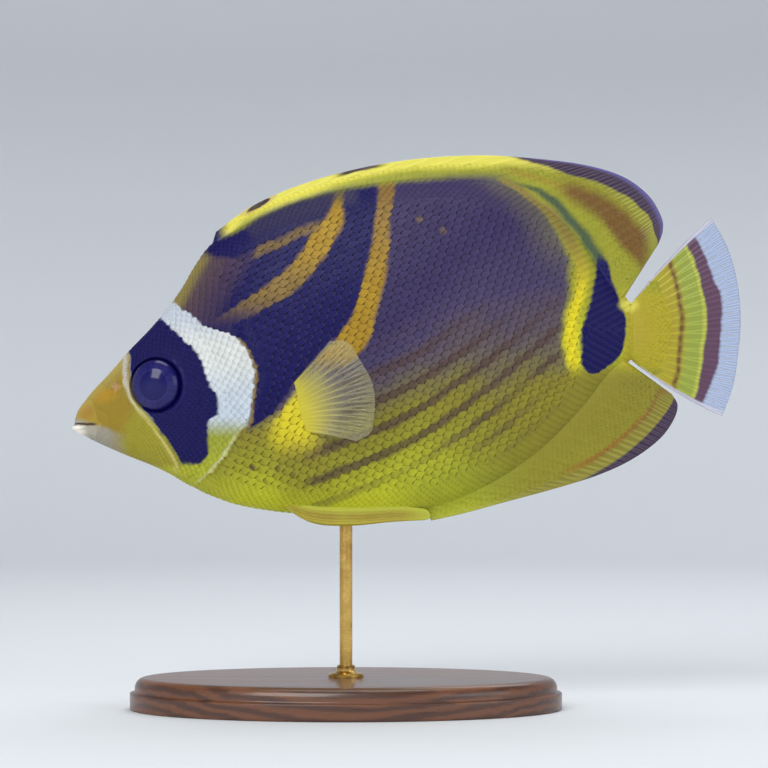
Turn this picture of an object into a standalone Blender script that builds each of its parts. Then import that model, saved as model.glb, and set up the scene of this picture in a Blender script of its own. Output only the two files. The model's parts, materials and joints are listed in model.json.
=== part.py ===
"""Raccoon butterflyfish, life size, swimming on a display stand.

The fish looks along -X with +Z up. The origin lies under the middle of its length, on the
underside of the stand. The outlines are tables of a few stations in millimetres, measured back
from the tip of the lower lip and up from the lowest line of the folded pelvic fins. Smooth curves
run through them, and everything else is worked out from those curves.
"""
from math import pi

import bmesh
import bpy
import numpy as np
from mathutils import Matrix, Vector

MM = 0.001
GAP = 0.30 * MM            # air left between two pieces that meet
MERGE = 0.002 * MM

# Driving sizes of the fish and its stand
TOTAL_LENGTH = 167.2 * MM  # lip to the clear rim of the tail fin
LOWEST_FIN = 46.0 * MM     # height of the lowest fin line over the table
BASE_LENGTH = 108.0 * MM
BASE_DEPTH = 64.0 * MM
BASE_HEIGHT = 8.0 * MM
BASE_SIDES = 48
EDGE_ROUND = 1.2 * MM
ROD_RADIUS = 1.6 * MM
ROD_SIDES = 20
ROD_SINK = 5.0 * MM        # depth of the rod in the base
ROD_SPARE = 12.0 * MM      # length that the belly cuts off again
ROD_STATION = 68.5         # mm behind the lip, close to the fish's centre of mass

# Body stations: back x, back z, belly x, belly z, half-width, backward bow of the section, in mm
STATIONS = np.array([
    (0.7, 26.0, 0.7, 26.0, 0.0, 0.0),       # tip between the lips
    (1.5, 28.6, 0.9, 23.4, 1.5, 0.0),
    (3.0, 30.8, 3.5, 22.0, 2.2, 0.0),
    (6.0, 34.4, 8.5, 19.6, 3.1, 0.0),
    (9.6, 38.2, 14.0, 17.2, 4.3, 0.8),      # nostrils
    (14.5, 43.9, 20.0, 14.8, 5.9, 2.6),     # front of the eye
    (19.5, 49.1, 24.5, 12.6, 7.4, 5.6),     # back of the eye
    (23.8, 54.2, 27.8, 10.6, 9.0, 9.2),
    (27.5, 59.4, 29.2, 9.8, 10.6, 12.8),
    (31.0, 65.4, 30.6, 9.1, 12.0, 16.0),    # rim of the gill cover
    (34.8, 70.4, 36.0, 6.6, 12.4, 16.2),
    (41.5, 75.0, 43.5, 4.3, 12.7, 14.4),
    (54.5, 81.0, 57.0, 2.5, 12.7, 10.4),
    (72.0, 85.8, 74.5, 2.1, 12.3, 5.6),
    (89.5, 87.7, 90.5, 3.9, 11.2, 1.6),
    (104.5, 86.8, 104.5, 9.4, 9.6, 0.0),
    (117.0, 81.8, 117.0, 17.8, 7.6, 0.0),
    (127.0, 73.0, 127.0, 27.6, 5.5, 0.0),
    (134.0, 62.4, 134.0, 36.4, 4.0, 0.0),   # front of the tail stem
    (139.8, 55.6, 139.8, 41.0, 2.8, 0.0),   # root of the tail fin
])
GILL_STATION = 9.0
STEM_STATION = 18.0
LAST_STATION = len(STATIONS) - 1.0
RING_SIDES = 40
HEAD_STATIONS = GILL_STATION * np.linspace(0, 1, 24) ** 1.15
TORSO_STATIONS = np.linspace(GILL_STATION + 0.075, STEM_STATION, 27)    # 0.3 mm behind the head
STEM_STATIONS = np.linspace(STEM_STATION + 0.055, LAST_STATION, 5)      # 0.3 mm behind the torso
GILL_LIFT = 0.55 * MM      # how far the gill cover's rim stands off the shoulder
GILL_RAMP = 2.2            # stations over which it rises
LOW_WIDTH = 0.10           # share by which a section is wider low down

# Eyes, nostrils and mouth, in mm from the lip and the lowest line
EYE_PLACE = (21.4, 34.9)
EYE_RADII = (6.3 * MM, 3.4 * MM, 6.5 * MM)
EYE_DEPTH = 4.7 * MM       # centre of the eyeball beside the midplane
EYE_TURN = 0.20            # radians that it looks forward
NOSTRILS = ((10.4, 33.8, 0.50), (12.1, 35.3, 0.62))      # x, z and radius of each
NOSTRIL_SINK = 0.10 * MM
MOUTH_CORNER = (6.0, 2.9)  # x, and distance from the midplane
MOUTH_HEIGHT = 25.4
SLIT_HALF = 0.18 * MM
SLIT_WIDTH = 1.7           # of the blade that parts the lips, against the corners' distance
SLIT_ROUND = 1.2           # mm that the blade's inner end is rounded
UPPER_LIP = (0.6, 26.4)    # foremost x, z
LOWER_LIP = (0.0, 24.4)
LIP_RADIUS = 0.92 * MM
LIP_TAPER = 0.45           # share of the radius left at the corner
LIP_SPREAD = 0.8           # of the lips' bars, against the corners' distance
LIP_TURN_IN = 0.25         # share by which they draw in at the corners

# Paired root and margin points of the fins in mm: root x, root z, margin x, margin z
DORSAL = np.array([
    (35.2, 70.6, 36.0, 73.3),
    (40.0, 74.4, 45.0, 79.7),
    (47.5, 78.3, 57.0, 85.0),
    (59.5, 82.8, 72.0, 89.2),
    (73.2, 86.0, 87.0, 91.6),
    (87.0, 87.7, 102.0, 92.4),
    (99.5, 87.6, 115.0, 91.7),
    (110.8, 84.8, 127.8, 90.1),
    (119.5, 80.0, 137.5, 87.2),
    (126.5, 73.6, 144.0, 82.5),
    (132.0, 65.9, 147.3, 77.1),
    (135.3, 60.6, 147.7, 73.6),
    (138.0, 56.8, 146.7, 70.4),
])
DORSAL_SPINES = 12
DORSAL_RAYS = 22
SPINY_SHARE = 0.50         # of the fin's length along its root
ANAL = np.array([
    (88.0, 4.3, 89.8, 1.1),
    (92.0, 5.2, 97.5, 2.8),
    (98.2, 7.2, 108.2, 5.7),
    (105.8, 10.8, 120.0, 8.9),
    (114.5, 16.6, 131.3, 12.4),
    (122.0, 23.1, 140.0, 16.4),
    (128.3, 29.6, 146.8, 21.4),
    (133.2, 35.6, 150.3, 26.1),
    (136.5, 38.6, 151.4, 29.9),
    (138.8, 40.8, 150.0, 32.7),
])
ANAL_SPINES = 3
ANAL_RAYS = 18
ANAL_SPINY_SHARE = 0.16
TAIL = np.array([
    (139.8, 41.0, 162.5, 27.2),
    (139.8, 42.8, 165.3, 34.9),
    (139.8, 45.4, 166.6, 43.4),
    (139.8, 48.3, 167.2, 51.9),
    (139.8, 51.2, 166.3, 60.9),
    (139.8, 53.8, 163.9, 69.4),
    (139.8, 55.6, 159.8, 76.9),
])
TAIL_RAYS = 17
TAIL_FLARE = 1.2           # mm by which the outer rays bow away from the fin's axis
TAIL_FLESH = 0.42          # share of the fin over which the stem's flesh thins out

# Half-thicknesses of the fins
FIN_ROOT = 1.5 * MM
WEB = 0.27 * MM
RIM = 0.24 * MM
FIRST_RAY = 0.45           # share of them left at a fin's first and last edge
SOFT_RIDGE = 0.28 * MM
SPINE_RIDGE = 0.42 * MM
FULL_SPINE = 8.0           # mm of fin height from which its ridges have their full size
SPINE_TIP = 0.55           # mm that a spine stands out of the margin
SPINE_NOTCH = 0.25         # mm that the web between two spines draws in
FIN_SINK = 2.6             # mm that a fin's root runs on into the body before it is cut
FIN_ROWS = np.array([-1.0, 0.0, 0.22, 0.48, 0.74, 1.0])
PECTORAL_ROWS = np.array([-0.12, 0.06, 0.25, 0.5, 0.75, 1.0])
TAIL_ROWS = np.array([0.0, 0.1, 0.22, 0.36, 0.55, 0.78, 1.0])
RIDGE_START = 0.2          # share of a ridge's height at the root
RIDGE_RAMP = 4.0           # and how fast it gains the rest

# Pectoral fins: foot and margin of the fan, in mm: x, out from the midplane, z
PECTORAL_FOOT = np.array([(55.3, 11.0, 34.9), (58.0, 11.4, 29.6), (59.6, 11.2, 23.6)])
PECTORAL_RIM = np.array([
    (64.8, 26.6, 45.6), (69.2, 31.2, 45.2), (73.0, 33.4, 40.2), (75.2, 33.0, 34.4),
    (75.9, 30.2, 28.4), (74.8, 25.8, 23.6), (71.4, 20.6, 21.3),
])
PECTORAL_RAYS = 15
PECTORAL_BEND = 1.6 * MM
PECTORAL_FLESH = 1.25 * MM
# Pelvic fins, folded back along the belly: upper and lower edges, in mm: x, out, z
PELVIC_UPPER = np.array([
    (51.0, 3.0, 6.6), (60.0, 3.4, 5.2), (72.0, 3.4, 4.6), (82.0, 3.0, 4.4), (89.4, 2.6, 2.5),
])
PELVIC_LOWER = np.array([
    (51.0, 2.8, 4.4), (60.0, 3.3, 0.7), (70.0, 3.3, 0.0), (80.0, 3.0, 0.9), (89.8, 2.6, 1.4),
])
PELVIC_RAYS = 5
PELVIC_STEPS = 14
PELVIC_EDGE = 0.30 * MM    # half-thickness at the edges
PELVIC_FULL = 0.45 * MM    # added in the middle of the root
PELVIC_RIDGE = 0.14 * MM
PELVIC_THIN = 0.15         # share of what is added that is left at the tip

# Angles in radians from which an edge is shown sharp: all rays, and the rims of the body
FIN_SHARP = 0.2
BODY_SHARP = 0.6

# Plain colours of the finishes
YELLOW = (0.78, 0.60, 0.05)
SLATE = (0.16, 0.12, 0.16)
HEAD_WHITE = (0.80, 0.82, 0.80)
EYE_BLACK = (0.02, 0.02, 0.06)
CLEAR_FIN = (0.80, 0.82, 0.80)
WOOD = (0.16, 0.08, 0.04)
BRASS = (0.72, 0.55, 0.28)


def clear_scene():
    """Removes the objects that a new file starts with."""
    for old in list(bpy.data.objects):
        bpy.data.objects.remove(old, do_unlink=True)


def collection(name):
    made = bpy.data.collections.new(name)
    bpy.context.scene.collection.children.link(made)
    return made


def finish(name, colour, roughness, metallic=0.0):
    """A plain material with one colour."""
    material = bpy.data.materials.new(name)
    material.use_nodes = True
    shader = material.node_tree.nodes["Principled BSDF"]
    shader.inputs["Base Color"].default_value = (*colour, 1.0)
    shader.inputs["Roughness"].default_value = roughness
    shader.inputs["Metallic"].default_value = metallic
    return material


def along(table, t):
    """Smooth curve through the table's rows, where t counts rows: a cubic between each two,
    with slopes taken from the rows on either side."""
    table = np.asarray(table, float)
    slopes = np.gradient(table, axis=0)
    t = np.clip(np.atleast_1d(t), 0, len(table) - 1)
    low = np.minimum(t.astype(int), len(table) - 2)
    f = (t - low)[:, None]
    return (table[low] * (1 + 2 * f) * (1 - f) ** 2 + slopes[low] * f * (1 - f) ** 2
            + table[low + 1] * f ** 2 * (3 - 2 * f) - slopes[low + 1] * f ** 2 * (1 - f))


def placed(x, y, z):
    """Millimetres from the lip and the lowest fin line, as metres in the frame. y is metres."""
    return np.stack([x * MM - TOTAL_LENGTH / 2, y, z * MM + LOWEST_FIN], axis=-1)


def mesh_object(name, mesh, group, material=None):
    made = bpy.data.objects.new(name, mesh)
    group.objects.link(made)
    if material:
        mesh.materials.append(material)
    return made


def closed_object(name, points, faces, group, material=None):
    mesh = bpy.data.meshes.new(name)
    mesh.from_pydata([tuple(p) for p in points], [], [tuple(f) for f in faces])
    mesh.update()
    close_up(mesh)
    return mesh_object(name, mesh, group, material)


def close_up(mesh):
    """Merges points that fall together, as where a ring is a point, drops the faces that this
    flattens, and points the rest outwards."""
    shape = bmesh.new()
    shape.from_mesh(mesh)
    bmesh.ops.remove_doubles(shape, verts=shape.verts, dist=MERGE)
    bmesh.ops.dissolve_degenerate(shape, edges=shape.edges, dist=MERGE / 2)
    bmesh.ops.recalc_face_normals(shape, faces=shape.faces)
    shape.to_mesh(mesh)
    shape.free()


def body_ring(station, grow=0.0):
    """One section of the body: an upright loop that is pointed at back and belly, a little wider
    low down, and bowed backwards at its middle. grow pushes it outwards."""
    back_x, back_z, belly_x, belly_z, width, bow = along(STATIONS, station)[0]
    turn = np.arange(RING_SIDES) * 2 * pi / RING_SIDES
    c = np.cos(turn)
    rise = 1 - c ** 2
    tall = (back_z - belly_z) / 2 + grow / MM
    x = (back_x + belly_x) / 2 + (back_x - belly_x) / 2 * c + bow * rise
    z = (back_z + belly_z) / 2 + tall * c
    full = np.interp(station, (0, 4, 12), (0.50, 0.56, 0.60))
    half = (max(width, 0.0) * MM * (1 - LOW_WIDTH * c) + gill_lift(station, c) + grow) * rise ** full
    return placed(x, half * np.sign(np.round(np.sin(turn), 6)), z)


def gill_lift(station, c):
    """The gill cover stands proud where it ends, on the sides and not along back or throat."""
    ramp = np.clip((station - GILL_STATION + GILL_RAMP) / GILL_RAMP, 0, 1) * (station <= GILL_STATION)
    return GILL_LIFT * ramp ** 2 * np.clip(1 - c ** 2, 0, 1)


def loft(name, rings, group, material=None):
    """Skins a row of rings. A ring's ends close with strips that run from side to side, so that
    a curved end stays true, and a first ring that is a point closes by itself."""
    count, sides = len(rings), RING_SIDES
    points = np.concatenate(rings)
    faces = []
    for i in range(count - 1):
        for j in range(sides):
            a, b = i * sides + j, i * sides + (j + 1) % sides
            faces.append((a, b, b + sides, a + sides))
    for base in (0, (count - 1) * sides):
        for j in range(sides // 2):
            strip = (base + j, base + j + 1, base + (sides - j - 1), base + (sides - j) % sides)
            faces.append(tuple(dict.fromkeys(strip)))
    return closed_object(name, points, faces, group, material)


def evaluated(obj):
    """The object's mesh with its modifiers, as plain data."""
    bpy.context.view_layer.update()
    return bpy.data.meshes.new_from_object(obj.evaluated_get(bpy.context.evaluated_depsgraph_get()))


def volume(verts):
    """Volume inside the closed surface that these points carry."""
    total = 0.0
    for face in {face for vert in verts for face in vert.link_faces}:
        corners = [v.co for v in face.verts]
        for second, third in zip(corners[1:], corners[2:]):
            total += corners[0].dot(second.cross(third)) / 6
    return abs(total)


def largest(mesh):
    """Keeps only the closed surface that holds the most volume."""
    shape = bmesh.new()
    shape.from_mesh(mesh)
    left = set(shape.verts)
    islands = []
    while left:
        stack = [left.pop()]
        island = set(stack)
        while stack:
            for edge in stack.pop().link_edges:
                for vert in edge.verts:
                    if vert in left:
                        left.discard(vert)
                        island.add(vert)
                        stack.append(vert)
        islands.append(island)
    keep = max(islands, key=volume)
    bmesh.ops.delete(shape, geom=[v for v in shape.verts if v not in keep], context="VERTS")
    bmesh.ops.triangulate(shape, faces=shape.faces)
    shape.to_mesh(mesh)
    shape.free()


def carve(obj, cutters, operation="DIFFERENCE"):
    """Cuts the cutters out of an object, or joins them to it, and applies the result."""
    for cutter in cutters:
        step = obj.modifiers.new(cutter.name, "BOOLEAN")
        step.operation = operation
        step.solver = "EXACT"
        step.object = cutter
        cutter.hide_render = True
        cutter.display_type = "WIRE"
    mesh = evaluated(obj)
    obj.modifiers.clear()
    obj.data = mesh
    largest(mesh)
    return obj


def ellipsoid(name, radii, place, turn, fineness, group, material=None):
    """A ball with three radii, its poles to the sides, turned about the upright axis."""
    segments, rings = fineness
    shape = bmesh.new()
    bmesh.ops.create_uvsphere(shape, u_segments=segments, v_segments=rings, radius=1.0)
    shape.transform(Matrix.Translation(Vector(place)) @ Matrix.Rotation(turn, 4, "Z")
                    @ Matrix.Diagonal((*radii, 1.0)) @ Matrix.Rotation(pi / 2, 4, "X"))
    mesh = bpy.data.meshes.new(name)
    shape.to_mesh(mesh)
    shape.free()
    return mesh_object(name, mesh, group, material)


def eye(name, side, grow, group, material=None):
    """An eyeball that is flatter from side to side and turned a little forward."""
    x, z = EYE_PLACE
    radii = [r + grow for r in EYE_RADII]
    return ellipsoid(name, radii, placed(x, side * EYE_DEPTH, z), side * EYE_TURN, (20, 12), group, material)


def tube(name, points, radius, shares, group):
    """A round bar along a smooth open curve, as a closed mesh. Shares scale its radius."""
    curve = bpy.data.curves.new(name, "CURVE")
    curve.dimensions = "3D"
    curve.bevel_depth = radius
    curve.bevel_resolution = 3
    curve.use_fill_caps = True
    line = curve.splines.new("POLY")
    line.points.add(len(points) - 1)
    for spot, point, share in zip(line.points, points, shares):
        spot.co = (*point, 1.0)
        spot.radius = share
    guide = bpy.data.objects.new(name, curve)
    group.objects.link(guide)
    mesh = evaluated(guide)
    bpy.data.objects.remove(guide)
    close_up(mesh)
    return mesh_object(name, mesh, group)


def lip(name, front, group):
    """A lip: a round bar that runs from one corner of the mouth about the tip to the other. It
    thins out and sinks in at the corners."""
    corner_x, corner_y = MOUTH_CORNER
    reach, level = front
    turn = np.linspace(-pi / 2, pi / 2, 13)
    x = corner_x - (corner_x - reach - LIP_RADIUS / MM) * np.cos(turn)
    y = corner_y * LIP_SPREAD * MM * np.sin(turn) * (1 - LIP_TURN_IN * np.sin(turn) ** 4)
    z = level + (MOUTH_HEIGHT - level) / 2 * np.sin(turn) ** 4
    return tube(name, placed(x, y, z), LIP_RADIUS, LIP_TAPER + (1 - LIP_TAPER) * np.cos(turn), group)


def make_head(group, cutters, material):
    """Head from the lips to the rim of the gill cover, with sockets, nostrils and mouth."""
    head = loft("head", [body_ring(s) for s in HEAD_STATIONS], group, material)
    carve(head, [lip("upper_lip", UPPER_LIP, cutters), lip("lower_lip", LOWER_LIP, cutters)], "UNION")
    tools = [eye(f"socket_{side}", side, GAP, cutters) for side in (-1, 1)]
    for side in (-1, 1):
        for x, z, radius in NOSTRILS:
            place = placed(x, side * (skin_half_width(x, z) - NOSTRIL_SINK), z)
            tools.append(ellipsoid("nostril", [radius * MM] * 3, place, 0.0, (10, 6), cutters))
    tools.append(mouth_slit(cutters))
    return carve(head, tools)


def skin_half_width(x, z):
    """Half-width of the body at a place in its side view, found on a fine net of its sections."""
    rings = np.array([body_ring(s) for s in np.linspace(0, LAST_STATION, 240)])
    half = rings[:, : RING_SIDES // 2 + 1].reshape(-1, 3)
    spot = placed(x, 0.0, z)
    near = np.argsort((half[:, 0] - spot[0]) ** 2 + (half[:, 2] - spot[2]) ** 2)[:3]
    return abs(half[near, 1]).mean()


def mouth_slit(group):
    """A flat tongue-shaped blade that parts the lips from corner to corner."""
    corner_x, corner_y = MOUTH_CORNER
    turn = np.linspace(-pi / 2, pi / 2, 11)
    wide = SLIT_WIDTH * corner_y * MM
    x = np.append(corner_x - SLIT_ROUND * (1 - np.cos(turn)), [-corner_x, -corner_x])
    y = np.append(wide * np.sin(turn), [wide, -wide])
    outline = placed(x, y, np.full_like(x, MOUTH_HEIGHT))
    count = len(outline)
    up = np.array((0, 0, SLIT_HALF))
    points = np.concatenate([outline - up, outline + up])
    faces = [tuple(range(count)), tuple(range(2 * count - 1, count - 1, -1))]
    faces += [(i, (i + 1) % count, (i + 1) % count + count, i + count) for i in range(count)]
    return closed_object("mouth_slit", points, faces, group)


def make_torso(group, material):
    return loft("torso", [body_ring(s) for s in TORSO_STATIONS], group, material)


def make_tail_stem(group, material):
    return loft("tail_stem", [body_ring(s) for s in STEM_STATIONS], group, material)


def body_cutter(group):
    """The whole body, grown by the gap, that fins and rod are cut with. It has the rings of the
    body's own pieces, so that its facets follow theirs."""
    stations = np.concatenate([HEAD_STATIONS, TORSO_STATIONS, STEM_STATIONS])
    return loft("grown_body", [body_ring(s, GAP) for s in stations], group)


def sheet(name, middle, half, across, group, material):
    """A fin: a surface given by its middle, a grid of points, thickened to both sides along
    across by half. Both faces are split into triangles alike, and a rim closes them."""
    rows, columns = half.shape
    points = np.concatenate([(middle + across * half[..., None]).reshape(-1, 3),
                             (middle - across * half[..., None]).reshape(-1, 3)])
    faces = []
    other = rows * columns
    for i in range(rows - 1):
        for j in range(columns - 1):
            a, b = i * columns + j, i * columns + j + 1
            c, d = b + columns, a + columns
            faces += [(a, b, c), (a, c, d)]
            faces += [(c + other, b + other, a + other), (d + other, c + other, a + other)]
    rim = [(0, j) for j in range(columns)] + [(i, columns - 1) for i in range(1, rows)]
    rim += [(rows - 1, j) for j in range(columns - 2, -1, -1)] + [(i, 0) for i in range(rows - 2, 0, -1)]
    ids = [i * columns + j for i, j in rim]
    for a, b in zip(ids, ids[1:] + ids[:1]):
        faces += [(b, a, a + other), (b, a + other, b + other)]
    return closed_object(name, points, faces, group, material)


def ray_columns(spines, rays, spiny_share):
    """Places of the columns along a fin, two for each spine or ray, with a mark of 1 on the
    crest of a ray and 0 on the web between, and a second mark that is 1 on spines."""
    count = spines + rays
    centres = np.concatenate([
        (np.arange(spines) + 0.5) / max(spines, 1) * spiny_share,
        spiny_share + (np.arange(rays) + 0.5) / rays * (1 - spiny_share),
    ])
    webs = np.concatenate([[0.0], (centres[1:] + centres[:-1]) / 2, [1.0]])
    places = np.empty(2 * count + 1)
    places[0::2], places[1::2] = webs, centres
    crest = np.zeros(2 * count + 1)
    crest[1::2] = 1
    spiny = np.zeros(2 * count + 1)
    spiny[1:2 * spines:2] = 1
    return places, crest, spiny


def ridge_height(share, taper):
    """Height of a ridge along its length: low where it leaves the body, then thinning outwards."""
    return np.clip(RIDGE_START + RIDGE_RAMP * share, 0, 1) * (1 - taper * share)


def median_fin(name, table, spines, rays, spiny_share, group, material):
    """A fin in the midplane, from inside the body out to its margin. Spines and rays are ridges
    that taper outwards, and the tips of the spines stand out of the margin as small points."""
    places, crest, spiny = ray_columns(spines, rays, spiny_share)
    pairs = along(table, places * (len(table) - 1))
    root, margin = pairs[:, :2], pairs[:, 2:]
    lean = margin - root
    length = np.linalg.norm(lean, axis=1, keepdims=True)
    notch = SPINE_NOTCH * (1 - crest) * (places < spiny_share)
    margin = margin + lean / length * (SPINE_TIP * spiny - notch)[:, None]
    course = np.gradient(root, axis=0)
    inward = np.stack([course[:, 1], -course[:, 0]], axis=1)
    inward *= -np.sign((inward * lean).sum(axis=1, keepdims=True))
    inward *= FIN_SINK / np.linalg.norm(inward, axis=1, keepdims=True)
    share = np.clip(FIN_ROWS, 0, 1)[:, None]
    sunk = np.clip(-FIN_ROWS, 0, 1)[:, None]
    flat = root * (1 - share[..., None]) + margin * share[..., None] + sunk[..., None] * inward
    middle = placed(flat[..., 0], np.zeros(flat.shape[:2]), flat[..., 1])
    ridge = (SOFT_RIDGE + (SPINE_RIDGE - SOFT_RIDGE) * spiny) * crest
    ridge *= np.clip(length[:, 0] / FULL_SPINE, 0, 1)
    half = WEB + (FIN_ROOT - WEB) * (1 - share) ** 3 + ridge * ridge_height(share, 0.75)
    half[-1] = RIM
    columns_in = np.minimum(places, 1 - places) * len(places)
    half *= np.clip(FIRST_RAY + (1 - FIRST_RAY) * columns_in, 0, 1)
    return sheet(name, middle, half, np.array((0, 1.0, 0)), group, material)


def make_tail_fin(group, material):
    """The tail fin grows from the whole end of the tail stem, as thick there as the stem, and
    thins out fast to a web with branched rays."""
    places, crest, _ = ray_columns(0, TAIL_RAYS, 0.0)
    pairs = along(TAIL, places * (len(TAIL) - 1))
    root = pairs[:, :2] + np.array((GAP / MM, 0.0))
    margin = pairs[:, 2:]
    share = TAIL_ROWS[:, None]
    side = (places - 0.5) * 2
    flat = root * (1 - share[..., None]) + margin * share[..., None]
    flat[..., 1] += TAIL_FLARE * side * np.abs(side) * 4 * share * (1 - share)
    middle = placed(flat[..., 0], np.zeros(flat.shape[:2]), flat[..., 1])
    stem_half = STATIONS[-1, 4] * MM
    stem = (stem_half - WEB) * np.clip(1 - side ** 2, 0, 1) ** 0.6
    fade = np.clip(1 - share / TAIL_FLESH, 0, 1) ** 2
    half = stem * fade + WEB + SOFT_RIDGE * crest * ridge_height(share, 0.7)
    half[-1] = RIM
    return sheet("tail_fin", middle, half, np.array((0, 1.0, 0)), group, material)


def make_pectoral(name, side, group, material):
    """A fan on a short fleshy foot, bent a little like an oar blade."""
    places, crest, _ = ray_columns(0, PECTORAL_RAYS, 0.0)
    foot = along(PECTORAL_FOOT, places * (len(PECTORAL_FOOT) - 1))
    rim = along(PECTORAL_RIM, places * (len(PECTORAL_RIM) - 1))
    v = PECTORAL_ROWS[:, None]
    flat = foot * (1 - v[..., None]) + rim * v[..., None]
    middle = placed(flat[..., 0], flat[..., 1] * MM, flat[..., 2])
    across = np.cross(middle[-1, -1] - middle[0, 0], middle[-1, 0] - middle[0, -1])
    across /= np.linalg.norm(across)
    bow = PECTORAL_BEND * (4 * v * (1 - v)).clip(0) * np.sin(pi * places)
    middle = middle + across * bow[..., None]
    share = v.clip(0)
    fleshy = PECTORAL_FLESH * np.clip(1 - share / 0.30, 0, 1) ** 1.5 * np.sin(pi * (0.12 + 0.76 * places))
    half = WEB + fleshy + SOFT_RIDGE * crest * ridge_height((share - 0.06).clip(0), 0.7) * (share > 0.1)
    half[-1] = RIM
    flip = np.array((1.0, side, 1.0))
    return sheet(name, middle * flip, half, across * flip, group, material)


def make_pelvic(name, side, group, material):
    """A folded fin: a slim blade along the belly whose spine runs down its lower edge."""
    t = np.linspace(0, 1, PELVIC_STEPS)
    upper = along(PELVIC_UPPER, t * (len(PELVIC_UPPER) - 1))
    lower = along(PELVIC_LOWER, t * (len(PELVIC_LOWER) - 1))
    columns = 2 * PELVIC_RAYS + 1
    u = np.linspace(0, 1, columns)
    crest = np.arange(columns) % 2
    flat = lower[:, None] * (1 - u)[:, None] + upper[:, None] * u[:, None]
    middle = placed(flat[..., 0], flat[..., 1] * MM, flat[..., 2])
    taper = np.clip(1 + PELVIC_THIN - t, PELVIC_THIN, 1)[:, None]
    half = PELVIC_EDGE + taper * (PELVIC_FULL * np.sin(pi * (0.1 + 0.8 * u)) + PELVIC_RIDGE * crest)
    flip = np.array((1.0, side, 1.0))
    return sheet(name, middle * flip, half, np.array((0, 1.0, 0)), group, material)


def make_stand(group, cutters, wood, brass):
    """An oval base with a rounded edge, and a rod set in a drilled hole, which is returned for the
    belly to cut to its length."""
    rod_x = ROD_STATION * MM - TOTAL_LENGTH / 2
    oval = (BASE_LENGTH / 2, BASE_DEPTH / 2)
    base = post("stand_base", rod_x, (0, BASE_HEIGHT), oval, BASE_SIDES, group, wood)
    shape = bmesh.new()
    shape.from_mesh(base.data)
    top = [e for e in shape.edges if all(v.co.z > BASE_HEIGHT / 2 for v in e.verts)]
    bmesh.ops.bevel(shape, geom=top, offset=EDGE_ROUND, segments=3, affect="EDGES", profile=0.5)
    shape.to_mesh(base.data)
    shape.free()
    sunk = BASE_HEIGHT - ROD_SINK
    wide = (ROD_RADIUS + GAP, ROD_RADIUS + GAP)
    carve(base, [post("rod_hole", rod_x, (sunk - GAP, 2 * BASE_HEIGHT), wide, ROD_SIDES, cutters)])
    thick = (ROD_RADIUS, ROD_RADIUS)
    return post("stand_rod", rod_x, (sunk, LOWEST_FIN + ROD_SPARE), thick, ROD_SIDES, group, brass)


def post(name, x, heights, radii, sides, group, material=None):
    """An upright round or oval post between two heights."""
    low, high = heights
    shape = bmesh.new()
    bmesh.ops.create_cone(shape, cap_ends=True, segments=sides, radius1=1.0, radius2=1.0, depth=1.0)
    shape.transform(Matrix.Translation((x, 0, (low + high) / 2)) @ Matrix.Diagonal((*radii, high - low, 1)))
    mesh = bpy.data.meshes.new(name)
    shape.to_mesh(mesh)
    shape.free()
    return mesh_object(name, mesh, group, material)


def main():
    clear_scene()
    fish = collection("raccoon_butterflyfish")
    cutters = collection("cutters")
    yellow = finish("yellow_skin", YELLOW, 0.42)
    slate = finish("slate_skin", SLATE, 0.45)
    pale = finish("head_skin", HEAD_WHITE, 0.40)
    dark = finish("eye", EYE_BLACK, 0.08)
    clear = finish("clear_fin", CLEAR_FIN, 0.35)
    wood = finish("wood", WOOD, 0.45)
    brass = finish("brass", BRASS, 0.30, 1.0)

    make_head(fish, cutters, pale)
    make_torso(fish, slate)
    make_tail_stem(fish, slate)
    grown = body_cutter(cutters)
    fins = [
        median_fin("dorsal_fin", DORSAL, DORSAL_SPINES, DORSAL_RAYS, SPINY_SHARE, fish, yellow),
        median_fin("anal_fin", ANAL, ANAL_SPINES, ANAL_RAYS, ANAL_SPINY_SHARE, fish, yellow),
    ]
    make_tail_fin(fish, yellow)
    for side, word in ((-1, "left"), (1, "right")):
        eye(f"eye_{word}", side, 0.0, fish, dark)
        fins.append(make_pectoral(f"pectoral_fin_{word}", side, fish, clear))
        fins.append(make_pelvic(f"pelvic_fin_{word}", side, fish, yellow))
    rod = make_stand(fish, cutters, wood, brass)
    for piece in (*fins, rod):
        carve(piece, [grown])
    for piece in fish.objects:
        piece.data.set_sharp_from_angle(angle=FIN_SHARP if "fin" in piece.name else BODY_SHARP)


main()
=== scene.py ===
# %% [markdown]
# # A raccoon butterflyfish as a museum model
# The real thing is a life-size model of a reef fish on a display stand. Its body is a deep, thin
# disc with a short snout. The fins are sheets of skin held out by bony rays.
# The imported CAD model gives every place and size. The look is made here: a skin worked out from
# the same sections as the CAD, a coat of overlapping scales on it, finely rayed fins, glossy eyes
# and a wooden stand. We begin by loading the frame.

# %% Load the frame
import json
from math import atan, pi, radians

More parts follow.
